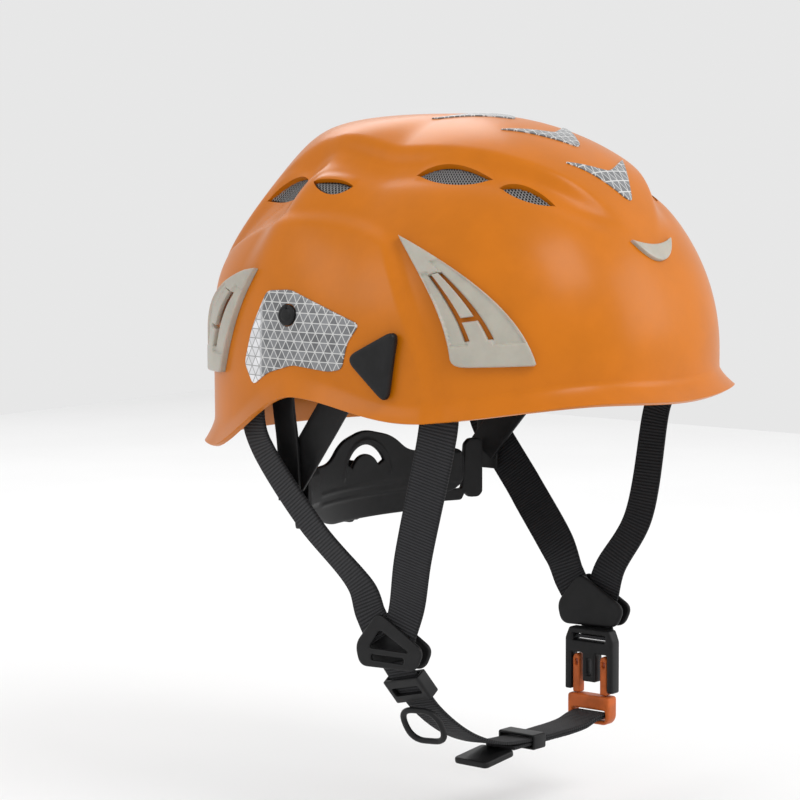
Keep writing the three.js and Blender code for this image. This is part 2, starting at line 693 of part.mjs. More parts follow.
function buildCradle() {
  const outline = roundedPolygon(CRADLE_OUTLINE, 7, 2);
  const slot = arcSlot(-74, 12.5, 17.5, 62);
  place("nape_cradle", napeSkin(-CRADLE_THICK / 2, CRADLE_THICK / 2, outline, [slot]), BLACK);
  const shaft = disc(PINION_RADIUS + 0.9, 20, 16).translate(0, NAPE_CENTRE_Y + NAPE_RADIUS, DIAL_Z);
  const shaftHole = toSolid(shaft);
  const back = napeSkin(COVER_INNER, COVER_OUTER, rectangle(0, DIAL_Z, 64, 27, 6));
  const lip = (z) => napeSkin(RACK_INNER - 0.1, COVER_INNER + 0.2, rectangle(0, z, 54, 2, 0.5));
  const lips = [lip(DIAL_Z + 12.3), lip(DIAL_Z - 12.3)];
  place("gear_cover", cut(joined(back, ...lips), shaftHole), BLACK);
}
buildCradle();

// Each rack runs behind the cradle from its end plate to past the dial: the right one above it,
// the left one below.
function rack(side, z) {
  const end = side * 80;
  const bar = napeSkin(RACK_INNER, RACK_OUTER, rectangle((end - side * 14) / 2, z, 94, 6.6, 0.5));
  const plate = napeSkin(RACK_INNER, RACK_OUTER, rectangle(side * 74.5, -75, 9, 33, 3));
  return joined(bar, plate);
}
place("rack_right", rack(-1, DIAL_Z + 7), BLACK);
place("rack_left", rack(1, DIAL_Z - 7), BLACK);

function buildDial() {
  const start = NAPE_CENTRE_Y + NAPE_RADIUS + COVER_OUTER + 0.6;
  const ridges = 18;
  const outline = Array.from({ length: ridges * 2 }, (_, i) => {
    const angle = (i / (ridges * 2)) * 2 * Math.PI;
    const radius = DIAL_RADIUS - (i % 2 ? 1.1 : 0);
    return [radius * Math.cos(angle), radius * Math.sin(angle)];
  });
  const upright = new THREE.Matrix4().makeRotationX(POLE);
  const knob = extruded(outline, 9).applyMatrix4(upright).translate(0, start + 9, DIAL_Z);
  place("dial_knob", toSolid(knob), BLACK);
  const teeth = 9;
  const gear = Array.from({ length: teeth * 2 }, (_, i) => {
    const angle = (i / (teeth * 2)) * 2 * Math.PI;
    const radius = PINION_RADIUS - (i % 2 ? 0.9 : 0);
    return [radius * Math.cos(angle), radius * Math.sin(angle)];
  });
  const length = COVER_OUTER - RACK_INNER + 0.2;
  const pinion = extruded(gear, length).applyMatrix4(upright).translate(0, start - 0.4, DIAL_Z);
  place("pinion_gear", toSolid(pinion), GREY);
}
buildDial();

// The matrix of a piece made about the origin: x across the strap, y along it, z through its thickness.
function strapFrame(centre, along, across) {
  const run = new THREE.Vector3(...along).normalize();
  const wide = new THREE.Vector3(...across);
  wide.addScaledVector(run, -wide.dot(run)).normalize();
  const through = new THREE.Vector3().crossVectors(wide, run);
  return new THREE.Matrix4().makeBasis(wide, run, through).setPosition(...centre);
}

// A flat sleeve round a strap: length along it, wall round it, opening of the given thickness.
function sleeve(length, opening, wall, matrix) {
  const outline = rectangle(0, 0, WEBBING + 2 * (wall + SLOT_GAP), opening + 2 * wall, 1.4);
  const hole = rectangle(0, 0, WEBBING + 2 * SLOT_GAP, opening, 0.3);
  const onEnd = new THREE.Matrix4().makeRotationX(POLE).setPosition(0, length / 2, 0);
  return plate(outline, length, [hole], matrix.clone().multiply(onEnd));
}

// Chin strap. Each side has a front and a rear leg of webbing that cross between the two plates of a divider.
const DIVIDER_GAP = 2.5;
const DIVIDER_PLATE = 2.2;
const LEG_OFFSET = 1.25;

function dividerPlate({ side, x, y, z }, direction, holes) {
  const corners = [[7, 15], [22, -3], [19, -14], [-17, -13], [-22, -2]].map(([a, b]) => [y + a, z + b]);
  const inner = x + direction * DIVIDER_GAP;
  const outer = inner + direction * DIVIDER_PLATE;
  return sidePlate(roundedPolygon(corners, 5, 3), side * inner, side * outer, holes);
}

const FRONT_ANCHOR = { x: 98.2, y: -57, z: -8 };
const REAR_ANCHOR = { x: 98.9, y: 62, z: -14 };
const ANCHOR_SIZE = [22, 10, 3.2];

function strapAnchor({ x, y, z }, side, across) {
  const frame = strapFrame([side * x, y, z], [0, 0, 1], across);
  return toSolid(new THREE.BoxGeometry(...ANCHOR_SIZE).applyMatrix4(frame));
}

function buildStrapSide(name, divider) {
  const { side, x, y, z } = divider;
  const window = roundedPolygon([[6, 6], [13, -4], [-13, -4]].map(([a, b]) => [y + a, z + b]), 2, 2);
  const slot = rectangle(y + 1, z - 8.6, 21, 3, 1);
  place(`divider_frame_${name}`, dividerPlate(divider, 1, [window, slot]), BLACK);
  place(`divider_plate_${name}`, dividerPlate(divider, -1, []), BLACK);
  const frontWall = [side * 0.4, 0.92, 0];
  const rearWall = [-side * 0.31, 0.95, 0];
  const level = [0, 1, 0];
  place(`front_webbing_${name}`, strip([
    [side * 98.4, -57, -13.4], [side * 98.6, -57, -27], [side * 97.4, -54, -39], [side * 86, y - 20, z + 45],
    [side * (x + LEG_OFFSET), y - 9, z + 18], [side * (x + LEG_OFFSET), y - 4, z + 2],
  ], frontWall, WEBBING, WEBBING_THICK, 16, level), BLACK);
  place(`rear_webbing_${name}`, strip([
    [side * 98.9, 62, -19.4], [side * 98, 62, -36], [side * 95.4, 59, -48],
    [side * 86.5, (y + 79) / 2, (z - 31) / 2],
    [side * (x - LEG_OFFSET), y + 22, z + 25], [side * (x - LEG_OFFSET), y + 16, z + 12],
    [side * (x - LEG_OFFSET), y + 9, z + 1],
  ], rearWall, WEBBING, WEBBING_THICK, 16, level), BLACK);
  place(`front_anchor_${name}`, strapAnchor(FRONT_ANCHOR, side, frontWall), BLACK);
  place(`rear_anchor_${name}`, strapAnchor(REAR_ANCHOR, side, rearWall), BLACK);
}
buildStrapSide("right", DIVIDER_RIGHT);
buildStrapSide("left", DIVIDER_LEFT);

// Chin webbing: from the right divider through the adjuster and the keeper, doubled from there to the buckle.
const CHIN_LEVEL = -203.8;
const CHIN_LINE = [
  [-76, -12, -154], [-71, -15, -163.2], [-61, -20, -178.5], [-44, -26, -193], [-22, -29.5, -201.6],
  [0, -31, CHIN_LEVEL], [37, -32.6, CHIN_LEVEL],
];
const CHIN_ACROSS = [0.1, 1, -0.2];
const MALE_SPLIT = 37.5;
const CHIN_TAIL_DROP = 1.5;

function buildChinWebbing() {
  const level = [0.03, 1, 0];
  const lowerLevel = CHIN_LEVEL - CHIN_TAIL_DROP;
  const upper = strip(CHIN_LINE, CHIN_ACROSS, WEBBING, WEBBING_THICK, 20, level);
  const lower = strip(
    [[-12, -30.4, lowerLevel - 0.2], [0, -31, lowerLevel], [37, -32.6, lowerLevel]],
    level, WEBBING - 0.6, WEBBING_THICK);
  place("chin_webbing", joined(upper, lower), BLACK);
  const doubled = 2 * WEBBING_THICK - 0.1;
  const slotLevel = BUCKLE.top - 46.5;
  place("chin_webbing_loop", strip([
    [MALE_SPLIT, -32.6, CHIN_LEVEL - CHIN_TAIL_DROP / 2], [50, -33, -203.7], [57, BUCKLE.y, -202.2],
    [62.4, BUCKLE.y, slotLevel], [BUCKLE.x, BUCKLE.y, slotLevel],
  ], level, WEBBING, doubled, 7), BLACK);
}
buildChinWebbing();

const ADJUSTER = { centre: [-68.95, -16.05, -166.4], along: [10, -5, -15.8] };
const KEEPER_CENTRE = [6, -31.3, CHIN_LEVEL - 0.7];
const adjusterFrame = strapFrame(ADJUSTER.centre, ADJUSTER.along, CHIN_ACROSS);
place("strap_adjuster", sleeve(14, 3.4, 2.2, adjusterFrame), BLACK);
place("strap_keeper", sleeve(10, 5.2, 1.4, strapFrame(KEEPER_CENTRE, [1, -0.03, 0], [0, 1, 0])), BLACK);

function buildRing() {
  const oval = (width, height) => roundedPolygon(
    [[-width, -height], [width, -height], [width, height], [-width, height]], height * 0.95, 4);
  const frame = strapFrame([-64.3, -20.7, -186.9], [0.5, -0.1, -1], [0, 1, 0]);
  const thick = 3;
  const centred = frame.multiply(new THREE.Matrix4().makeTranslation(0, 0, -thick / 2));
  place("adjuster_ring", plate(oval(13.5, 11), thick, [oval(10.4, 8)], centred), BLACK);
}
buildRing();

const tipFrame = strapFrame([-25, -29.6, CHIN_LEVEL - 4.9], [1, -0.04, 0.12], [0, 1, 0]);
place("strap_end_tip", toSolid(new THREE.BoxGeometry(22, 24, 3.4).applyMatrix4(tipFrame)), BLACK);

// Buckle: the black half hangs from the left divider, the orange half is on the chin webbing.
const BUCKLE_HALF_THICK = 3.6;
function buildBuckle() {
  const { x, y, top } = BUCKLE;
  const at = ([a, b]) => [y + a, top - b];
  const body = [
    [-13, 0], [13, 0], [15.5, 6], [15.5, 34], [11.6, 34], [11.6, 13.5], [4.2, 13.5], [4.2, 29],
    [-4.2, 29], [-4.2, 13.5],
    [-11.6, 13.5], [-11.6, 34], [-15.5, 34], [-15.5, 6],
  ].map(at);
  const webSlot = rectangle(y, top - 5, WEBBING + 1, 3.6, 0.6);
  const tongueSlot = rectangle(y, top - 21, 3, 9, 1.2);
  const slots = [webSlot, tongueSlot];
  place("buckle_frame", sidePlate(body, x - BUCKLE_HALF_THICK, x + BUCKLE_HALF_THICK, slots), BLACK);
  place("buckle_webbing", strip([
    [74.5, -31, -145.6], [74.5, -31.6, -154], [74, -32.4, -158.6], [71.6, y, top - 5], [67, y, top - 5],
  ], [0, 1, 0], WEBBING, WEBBING_THICK, 8), BLACK);
  const block = [[-13.5, 36], [13.5, 36], [13.5, 48], [11, 51.5], [-11, 51.5], [-13.5, 48]].map(at);
  const loopSlot = rectangle(y, top - 46.5, WEBBING + 1.4, 5.4, 1);
  place("buckle_plug", sidePlate(block, x - 4, x + 4, [loopSlot]), BUCKLE_ORANGE);
  for (const [name, side] of [["front", -1], ["rear", 1]]) {
    const outline = [[6.6, 35.6], [6.6, 16], [8, 14.5], [9.6, 14.5], [11, 16], [11, 35.6]];
    const prong = outline.map(([a, b]) => at([side * a, b]));
    const eye = rectangle(y + side * 8.8, top - 19, 1.8, 3.4, 0.5);
    place(`buckle_prong_${name}`, sidePlate(prong, x - 2.6, x + 2.6, [eye]), BUCKLE_ORANGE);
  }
}
buildBuckle();

export default helmet;
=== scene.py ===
"""Arborist climbing helmet: fine surfaces and finishes around the fixed frame."""
import math

import bmesh
import bpy
import numpy as np
from mathutils import Matrix, Vector
from mathutils.geometry import delaunay_2d_cdt


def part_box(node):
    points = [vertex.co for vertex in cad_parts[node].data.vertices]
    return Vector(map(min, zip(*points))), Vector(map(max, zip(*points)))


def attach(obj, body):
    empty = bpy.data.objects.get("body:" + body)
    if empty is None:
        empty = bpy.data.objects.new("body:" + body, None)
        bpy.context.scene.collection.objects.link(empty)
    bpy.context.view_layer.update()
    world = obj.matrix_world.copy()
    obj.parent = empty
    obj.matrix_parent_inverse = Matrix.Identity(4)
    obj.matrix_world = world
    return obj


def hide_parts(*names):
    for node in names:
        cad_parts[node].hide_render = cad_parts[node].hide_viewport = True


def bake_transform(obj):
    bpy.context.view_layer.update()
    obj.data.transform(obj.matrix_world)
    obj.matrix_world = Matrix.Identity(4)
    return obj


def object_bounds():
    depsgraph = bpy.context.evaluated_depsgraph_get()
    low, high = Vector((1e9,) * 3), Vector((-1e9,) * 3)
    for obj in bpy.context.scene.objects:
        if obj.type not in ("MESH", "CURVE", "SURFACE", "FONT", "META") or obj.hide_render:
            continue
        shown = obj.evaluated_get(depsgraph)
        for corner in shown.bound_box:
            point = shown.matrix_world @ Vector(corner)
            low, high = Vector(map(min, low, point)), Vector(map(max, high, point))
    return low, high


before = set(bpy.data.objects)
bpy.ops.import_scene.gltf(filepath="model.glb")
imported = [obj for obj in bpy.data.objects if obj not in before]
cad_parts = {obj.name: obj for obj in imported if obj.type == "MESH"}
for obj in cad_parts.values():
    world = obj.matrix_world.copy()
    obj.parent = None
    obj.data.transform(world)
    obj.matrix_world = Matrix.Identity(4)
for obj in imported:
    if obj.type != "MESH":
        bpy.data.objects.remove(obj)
FRAME_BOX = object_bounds()

bl_info = {
    "name": "Arborist helmet finish",
    "version": (1, 0, 0),
    "blender": (4, 5, 0),
    "location": "3D View > Sidebar > Helmet",
    "description": "Makes the fine pieces and finishes of an arborist helmet around its frame",
    "category": "Object",
}

MM = 0.001
RADIANS = math.pi / 180
POLE = math.pi / 2

# Shell: a superellipse dome, in millimetres.
HALF_WIDTH = 110
HALF_LENGTH = 131
PLAN_POWER = 2.4
DOME_HEIGHT = 117
FRONT_POWER = 2.05
REAR_POWER = 3
SHELL_THICKNESS = 3
SLOPE_OUT = 0.79
SLOPE_UP = 0.612
SLOPE_DISTANCE = 128
SLOPE_FADE = 60
SLOPE_SHARPNESS = 30
RIM_TURNS = [(0, -19), (25, -17), (68, -27), (101, -18), (135, -49), (180, -49)]
BRIM_FLARE = 4.5
SIDE_FLARE = 3.5
NAPE_FLARE = 2
RIM_BAND = 9
BAND_HALF_WIDTH = 62
BAND_LIFT = 4.5
BAND_CENTRE_Y = 20
BAND_REACH = 136
VALLEY_DEPTH = 2.2
EAR_LIFT = 3.2
EAR_CENTRE_DEG = 105
EAR_TOP = 72

# Vents of the right side: rear tip, front tip, middle of the upper edge, middle of the lower edge.
VENTS = [
    ((144, 76), (120, 80.5), (131, 88.5), (131, 76.2)),
    ((113, 87.5), (98, 85.5), (105, 88), (104, 81.5)),
    ((74.5, 91), (43.8, 89.3), (59, 95.6), (58, 86.9)),
    ((42.6, 85.4), (27, 76.4), (33.6, 85.2), (35.4, 78.9)),
]
ACCESSORY_SLOT = [(80, 0), (73, 8), (73, -6)]
DEGREE_MM = HALF_WIDTH * RADIANS

# Nape cradle and chin strap.
NAPE_RADIUS = 145
NAPE_CENTRE_Y = -75
DIAL_Z = -82.5
WEBBING = 20
WEBBING_THICK = 1.6


def smooth(value, start, end):
    share = np.clip((value - start) / (end - start), 0, 1)
    return share * share * (3 - 2 * share)


def from_brow(theta):
    turn = np.abs(theta) % (2 * math.pi)
    return np.minimum(turn, 2 * math.pi - turn) / RADIANS


def rim_height(theta):
    angle = from_brow(theta)
    height = np.full_like(angle, RIM_TURNS[0][1])
    for (start, low), (end, high) in zip(RIM_TURNS, RIM_TURNS[1:]):
        height = height + (high - low) * smooth(angle, start, end)
    return height


def dome_radius(theta, phi):
    across = np.abs(np.sin(theta)) / HALF_WIDTH
    along = np.abs(np.cos(theta)) / HALF_LENGTH
    reach = (across ** PLAN_POWER + along ** PLAN_POWER) ** (-1 / PLAN_POWER)
    flat = np.maximum(np.cos(phi), 1e-6)
    rise = np.maximum(np.sin(phi), 0)
    rearward = -np.cos(theta)
    power = FRONT_POWER + (REAR_POWER - FRONT_POWER) * smooth(rearward, -0.1, 0.8)
    dome = ((flat / reach) ** power + (rise / DOME_HEIGHT) ** power) ** (-1 / power)
    distance = SLOPE_DISTANCE + SLOPE_FADE * (1 - smooth(rearward, 0, 0.6))
    slope = distance / (SLOPE_OUT * HALF_LENGTH * flat / reach + SLOPE_UP * rise)
    both = (dome ** -SLOPE_SHARPNESS + slope ** -SLOPE_SHARPNESS) ** (-1 / SLOPE_SHARPNESS)
    return np.where(np.sin(phi) < 0, reach / flat, both)


def band_half_width(y, z):
    rear = BAND_HALF_WIDTH - 8 * smooth(100 - z, 0, 120)
    share = np.clip((y - BAND_CENTRE_Y) / BAND_REACH, -1, 0)
    return np.where(y > BAND_CENTRE_Y, rear, BAND_HALF_WIDTH * (1 - share * share) ** 0.6)


def vent_hood(angle, z, lift):
    """The moulded lip that stands over each vent."""
    total = np.zeros_like(z)
    for rear, front, upper, lower in VENTS:
        share = (angle - rear[0]) / (front[0] - rear[0])
        across = 2 * share - 1
        inside = np.clip(1 - across ** 4, 0, 1)
        tips = rear[1] + (front[1] - rear[1]) * share
        middle = (rear[1] + front[1]) / 2
        bow = np.clip(1 - across ** 2, 0, 1)
        low = tips + (lower[1] - middle) * bow
        high = tips + (upper[1] - middle) * bow
        total = total + lift * inside * smooth(z, low, high + 0.01) * (1 - smooth(z, high + 0.4, high + 5.5))
    return total


def relief(x, y, z, theta, hood):
    width = band_half_width(y, z)
    inside = width - np.abs(x)
    band = BAND_LIFT * smooth(inside, -4, 5) * smooth(z, -5, 45) * smooth(y, -118, -78)
    valley = VALLEY_DEPTH * np.exp(-(((inside + 9) / 7) ** 2)) * smooth(z, 50, 75) * smooth(width, 10, 30)
    angle = from_brow(theta)
    panel_top = EAR_TOP - 0.012 * (angle - EAR_CENTRE_DEG) ** 2
    panel_front = 60 + 15 * np.clip((z + 10) / 71, 0, 1) ** 1.3
    panel = smooth(panel_top - z, -3, 7) * smooth(
        angle - panel_front, -1.5, 4
    ) * (1 - smooth(angle, 140, 160))
    return band - valley + EAR_LIFT * panel + (vent_hood(angle, z, hood) if hood else 0)


def flare(theta, z):
    angle = from_brow(theta)
    amount = SIDE_FLARE + BRIM_FLARE * (1 - smooth(angle, 25, 60)) + NAPE_FLARE * smooth(angle, 110, 135)
    band = RIM_BAND + 3 * smooth(angle, 70, 95)
    above = np.maximum(z - rim_height(theta), 0)
    return amount * np.maximum(1 - above / band, 0) ** 1.4


def shell_point(theta, phi, hood=0.0):
    """A point of the shell's outer face, one row of x, y, z for each pair of angles."""
    dome = dome_radius(theta, phi)
    flat = dome * np.cos(phi)
    stand = relief(-flat * np.sin(theta), -flat * np.cos(theta), dome * np.sin(phi), theta, hood)
    radius = dome + stand
    height = radius * np.sin(phi)
    out = radius * np.cos(phi) + flare(theta, height)
    return np.stack([-out * np.sin(theta), -out * np.cos(theta), height], axis=-1)


def plain_point(theta, phi, distance):
    radius = dome_radius(theta, phi) + distance
    out = radius * np.cos(phi)
    return np.stack([-out * np.sin(theta), -out * np.cos(theta), radius * np.sin(phi)], axis=-1)


def elevation_where(count, test):
    low = np.full(count, -0.6)
    high = np.full(count, POLE)
    for _ in range(34):
        middle = (low + high) / 2
        above = test(middle)
        high = np.where(above, middle, high)
        low = np.where(above, low, middle)
    return (low + high) / 2


def side_place(degrees, height):
    theta = np.asarray(degrees, float) * RADIANS
    return theta, elevation_where(len(theta), lambda phi: shell_point(theta, phi)[:, 2] > height)


def top_place(x, y):
    theta = np.arctan2(-x, -y)
    reach = np.hypot(x, y)

    def test(phi):
        spot = shell_point(theta, phi)
        return (phi > 0) & (np.hypot(spot[:, 0], spot[:, 1]) < reach)

    return theta, elevation_where(len(theta), test)


def shell_normal(theta, phi):
    step = 0.008
    around = shell_point(theta + step, phi) - shell_point(theta - step, phi)
    up = shell_point(theta, phi + step) - shell_point(theta, phi - step)
    normal = np.cross(up, around)
    normal /= np.maximum(np.linalg.norm(normal, axis=-1, keepdims=True), 1e-9)
    facing = np.sum(normal * shell_point(theta, phi), axis=-1, keepdims=True)
    normal = np.where(facing < 0, -normal, normal)
    return np.where((phi > POLE - 0.02)[:, None], np.array([0.0, 0.0, 1.0]), normal)


def off_shell(theta, phi, distance, hood=0.0):
    return shell_point(theta, phi, hood) + shell_normal(theta, phi) * np.reshape(distance, (-1, 1))


def on_side(flat_u, height, distance):
    """Places named by millimetres round from the brow and height, at a distance off the shell."""
    return off_shell(*side_place(flat_u / DEGREE_MM, height), distance)


def on_top(x, y, distance):
    return off_shell(*top_place(x, y), distance)


def on_nape(x, z, distance):
    radius = NAPE_RADIUS + distance
    return np.stack([x, NAPE_CENTRE_Y + np.sqrt(radius ** 2 - x ** 2), z], axis=-1)


def through(matrix):
    """A map from plate coordinates to millimetres in the frame."""
    rows = np.array(matrix)

    def place(a, b, height):
        return np.stack([a, b, height], axis=-1) @ rows[:3, :3].T + rows[:3, 3]

    return place


def upright(from_x=0.0, turn=1):
    """Plates in the plane of y and z whose thickness runs along x."""
    return through(Matrix(((0, 0, turn, from_x), (1, 0, 0, 0), (0, 1, 0, 0), (0, 0, 0, 1))))


# Outlines.
def bent_edge(start, middle, end, steps):
    control = [2 * middle[k] - (start[k] + end[k]) / 2 for k in range(2)]
    points = []
    for i in range(steps):
        t = i / steps
        points.append(
            tuple((1 - t) ** 2 * start[k] + 2 * t * (1 - t) * control[k] + t * t * end[k] for k in range(2))
        )
    return points


def rounded(corners, radius, steps=5):
    points = []
    count = len(corners)
    for i, corner in enumerate(corners):
        here = Vector(corner)
        before = Vector(corners[i - 1]) - here
        after = Vector(corners[(i + 1) % count]) - here
        reach = min(radius, before.length / 2.1, after.length / 2.1)
        start = here + before.normalized() * reach
        end = here + after.normalized() * reach
        for k in range(steps + 1):
            t = k / steps
            spot = (1 - t) ** 2 * start + 2 * t * (1 - t) * here + t * t * end
            points.append((spot.x, spot.y))
    return points


def rectangle(centre_a, centre_b, width, height, radius=1.5):
    half_w, half_h = width / 2, height / 2
    corners = [(-half_w, -half_h), (half_w, -half_h), (half_w, half_h), (-half_w, half_h)]
    return rounded([(centre_a + a, centre_b + b) for a, b in corners], radius)


def circle(centre_a, centre_b, radius, sides=40):
    return [
        (
            centre_a + radius * math.cos(2 * math.pi * i / sides),
            centre_b + radius * math.sin(2 * math.pi * i / sides)
        )
        for i in range(sides)
    ]


def vent_outline(vent, steps=14):
    rear, front, upper, lower = vent
    points = bent_edge(rear, upper, front, steps) + bent_edge(front, lower, rear, steps)
    return [(u * DEGREE_MM, v) for u, v in points]


def resampled(loop, gap, turn):
    points = np.array(loop, float)
    area = np.sum(points[:, 0] * np.roll(points[:, 1], -1) - np.roll(points[:, 0], -1) * points[:, 1])
    if (area > 0) != (turn > 0):
        points = points[::-1]
    made = []
    for here, after in zip(points, np.roll(points, -1, axis=0)):
        length = np.linalg.norm(after - here)
        if length < 1e-4:
            continue
        parts = max(int(round(length / gap)), 1)
        made += [here + (after - here) * k / parts for k in range(parts)]
    return np.array(made)


def reach_to(points, loops):
    """Distance from each point to the nearest edge of some loops."""
    nearest = np.full(len(points), 1e9)
    for loop in loops:
        start = loop
        run = np.roll(loop, -1, axis=0) - start
        square = np.maximum(np.sum(run * run, axis=1), 1e-12)
        for chunk in range(0, len(points), 4000):
            offset = points[chunk:chunk + 4000, None, :] - start[None]
            share = np.clip(np.sum(offset * run[None], axis=2) / square, 0, 1)
            gap = np.linalg.norm(offset - share[..., None] * run[None], axis=2).min(axis=1)
            nearest[chunk:chunk + 4000] = np.minimum(nearest[chunk:chunk + 4000], gap)
    return nearest


def inside_of(points, loops):
    inside = np.zeros(len(points), bool)
    for loop in loops:
        after = np.roll(loop, -1, axis=0)
        for (ax, ay), (bx, by) in zip(loop, after):
            if ay == by:
                continue
            crosses = (ay > points[:, 1]) != (by > points[:, 1])
            inside ^= crosses & (points[:, 0] < (bx - ax) * (points[:, 1] - ay) / (by - ay) + ax)
    return inside


def mesh_object(name, points_mm, faces, flat=None, sharp=38):
    mesh = bpy.data.meshes.new(name)
    mesh.from_pydata((np.asarray(points_mm) * MM).tolist(), [], faces)
    mesh.update()
    work = bmesh.new()
    work.from_mesh(mesh)
    bmesh.ops.recalc_face_normals(work, faces=work.faces)
    work.to_mesh(mesh)
    work.free()
    if flat is not None:
        layer = mesh.attributes.new("flat", "FLOAT_VECTOR", "POINT")
        layer.data.foreach_set("vector", np.asarray(flat, np.float32).ravel())
    mesh.shade_smooth()
    mesh.set_sharp_from_angle(angle=sharp * RADIANS)
    made = bpy.data.objects.new(name, mesh)
    bpy.context.scene.collection.objects.link(made)
    return made


def slab(name, outline, low, high, at, holes=(), edge=0.6, gap=1.2, top=None, under=True):
    """A plate inside an outline, with rounded edges, whose faces follow at(a, b, height)."""
    loops = [resampled(outline, gap, 1)] + [resampled(hole, gap, -1) for hole in holes]
    points = []
    edges = []
    for loop in loops:
        start = len(points)
        points += list(loop)
        edges += [(start + i, start + (i + 1) % len(loop)) for i in range(len(loop))]
    for share in (0.15, 0.45, 1.0):
        for loop in loops:
            run = np.roll(loop, -1, axis=0) - np.roll(loop, 1, axis=0)
            run /= np.maximum(np.linalg.norm(run, axis=1, keepdims=True), 1e-9)
            row = loop + np.stack([-run[:, 1], run[:, 0]], axis=1) * edge * share
            keep = (reach_to(row, loops) > edge * share * 0.8) & inside_of(row, loops)
            points += list(row[keep])
    corner, far = loops[0].min(axis=0), loops[0].max(axis=0)
    step = gap * 1.1
    columns = np.arange(corner[0], far[0], step)
    grid = [
        (a + (row % 2) * step / 2, b)
        for row, b in enumerate(np.arange(corner[1], far[1], step * 0.87))
        for a in columns
    ]
    grid = np.array(grid)
    keep = inside_of(grid, loops) & (reach_to(grid, loops) > edge + gap * 0.45)
    points += list(grid[keep])
    found = delaunay_2d_cdt([Vector(p) for p in points], edges, [], 0, 1e-5)
    spots = np.array([(p.x, p.y) for p in found[0]])
    faces = np.array(found[2])
    centres = spots[faces].mean(axis=1)
    faces = faces[inside_of(centres, loops)]
    reach = reach_to(spots, loops)
    share = np.clip(1 - reach / edge, 0, 1)
    drop = edge * (1 - np.sqrt(np.maximum(1 - share * share, 0)))
    relief_up = top(spots[:, 0], spots[:, 1]) if top else 0
    upper = at(spots[:, 0], spots[:, 1], high - drop + relief_up)
    seen = {}
    for a, b, c in faces.tolist():
        for pair in ((a, b), (b, c), (c, a)):
            seen[pair] = seen.get(pair, 0) + 1
    border = [pair for pair in seen if (pair[1], pair[0]) not in seen]
    count = len(spots)
    lower = at(spots[:, 0], spots[:, 1], low + drop * under)
    every = faces.tolist()
    if under:
        every += [[c + count, b + count, a + count] for a, b, c in faces.tolist()]
    every += [[b, a, a + count, b + count] for a, b in border]
    flat = np.concatenate(
        [np.column_stack([spots, np.zeros(count)]), np.column_stack([spots, np.ones(count)])]
    )
    every_point = np.concatenate([upper, lower])
    used = np.unique(np.concatenate([np.ravel(f) for f in every]))
    renumber = np.full(2 * count, -1)
    renumber[used] = np.arange(len(used))
    return mesh_object(name, every_point[used], [[int(renumber[i]) for i in f] for f in every], flat[used])


def threaded(points, count):
    """Points along a smooth line through all the given points."""
    line = np.array(points, float)
    last = len(line) - 1
    made = []
    for k in range(count + 1):
        place = last * k / count
        i = min(int(place), last - 1)
        w = place - i
        p1, p2 = line[i], line[i + 1]
        p0 = line[i - 1] if i > 0 else 2 * p1 - p2
        p3 = line[i + 2] if i + 2 <= last else 2 * p2 - p1
        d0, d1, d2 = (
            max(float(np.sum((b - a) ** 2)) ** 0.25, 1e-4) for a, b in ((p0, p1), (p1, p2), (p2, p3))
        )
        t1 = ((p1 - p0) / d0 - (p2 - p0) / (d0 + d1) + (p2 - p1) / d1) * d1
        t2 = ((p2 - p1) / d1 - (p3 - p1) / (d1 + d2) + (p3 - p2) / d2) * d1
        made.append(
            p1 + t1 * w + (-3 * p1 + 3 * p2 - 2 * t1 - t2) * w ** 2 + (2 * p1 - 2 * p2 + t1 + t2) * w ** 3
        )
    return np.array(made)


def strip_frames(line, start_across, end_across):
    """Width and thickness directions along a strap's line."""
    share = np.linspace(0, 1, len(line))[:, None]
    side = np.array(start_across) * (1 - share) + np.array(end_across) * share
    along = np.empty_like(line)
    along[1:-1] = line[2:] - line[:-2]
    along[0] = line[1] - line[0]
    along[-1] = line[-1] - line[-2]
    along /= np.linalg.norm(along, axis=1, keepdims=True)
    wide = side - along * np.sum(side * along, axis=1, keepdims=True)
    wide /= np.linalg.norm(wide, axis=1, keepdims=True)
    return wide, np.cross(along, wide)


def ribbon(name, points, start_across, end_across, width, thick, count=90, edge=0.5):
    """A flat strap along a line, with rounded edges and square ends."""
    line = threaded(points, count)
    wide, through_it = strip_frames(line, start_across, end_across)
    half_w, half_t = width / 2, thick / 2
    ring = []
    for turn in range(4):
        side_a, side_b = ((-1, -1), (1, -1), (1, 1), (-1, 1))[turn]
        for k in range(4):
            angle = math.pi + turn * POLE + k * POLE / 3
            ring.append(
                (
                    side_a * (half_w - edge) + edge * math.cos(angle),
                    side_b * (half_t - edge) + edge * math.sin(angle)
                )
            )
        if turn % 2 == 0:
            for k in range(1, 6):
                a = side_a * (half_w - edge) * (1 - 2 * k / 6)
                ring.append((a, side_b * half_t))
    ring = np.array(ring)
    walked = np.concatenate([[0], np.cumsum(np.linalg.norm(np.diff(line, axis=0), axis=1))])
    rings = line[:, None] + ring[None, :, :1] * wide[:, None] + ring[None, :, 1:] * through_it[:, None]
    size = len(ring)
    faces = []
    for i in range(len(line) - 1):
        for j in range(size):
            k = (j + 1) % size
            faces.append([i * size + j, i * size + k, (i + 1) * size + k, (i + 1) * size + j])
    faces.append(list(range(size)))
    faces.append([(len(line) - 1) * size + j for j in reversed(range(size))])
    flat = np.stack(
        [np.tile(ring[:, 0], len(line)), np.repeat(walked, size), np.tile(ring[:, 1], len(line))], axis=1
    )
    return mesh_object(name, rings.reshape(-1, 3), faces, flat, 50)


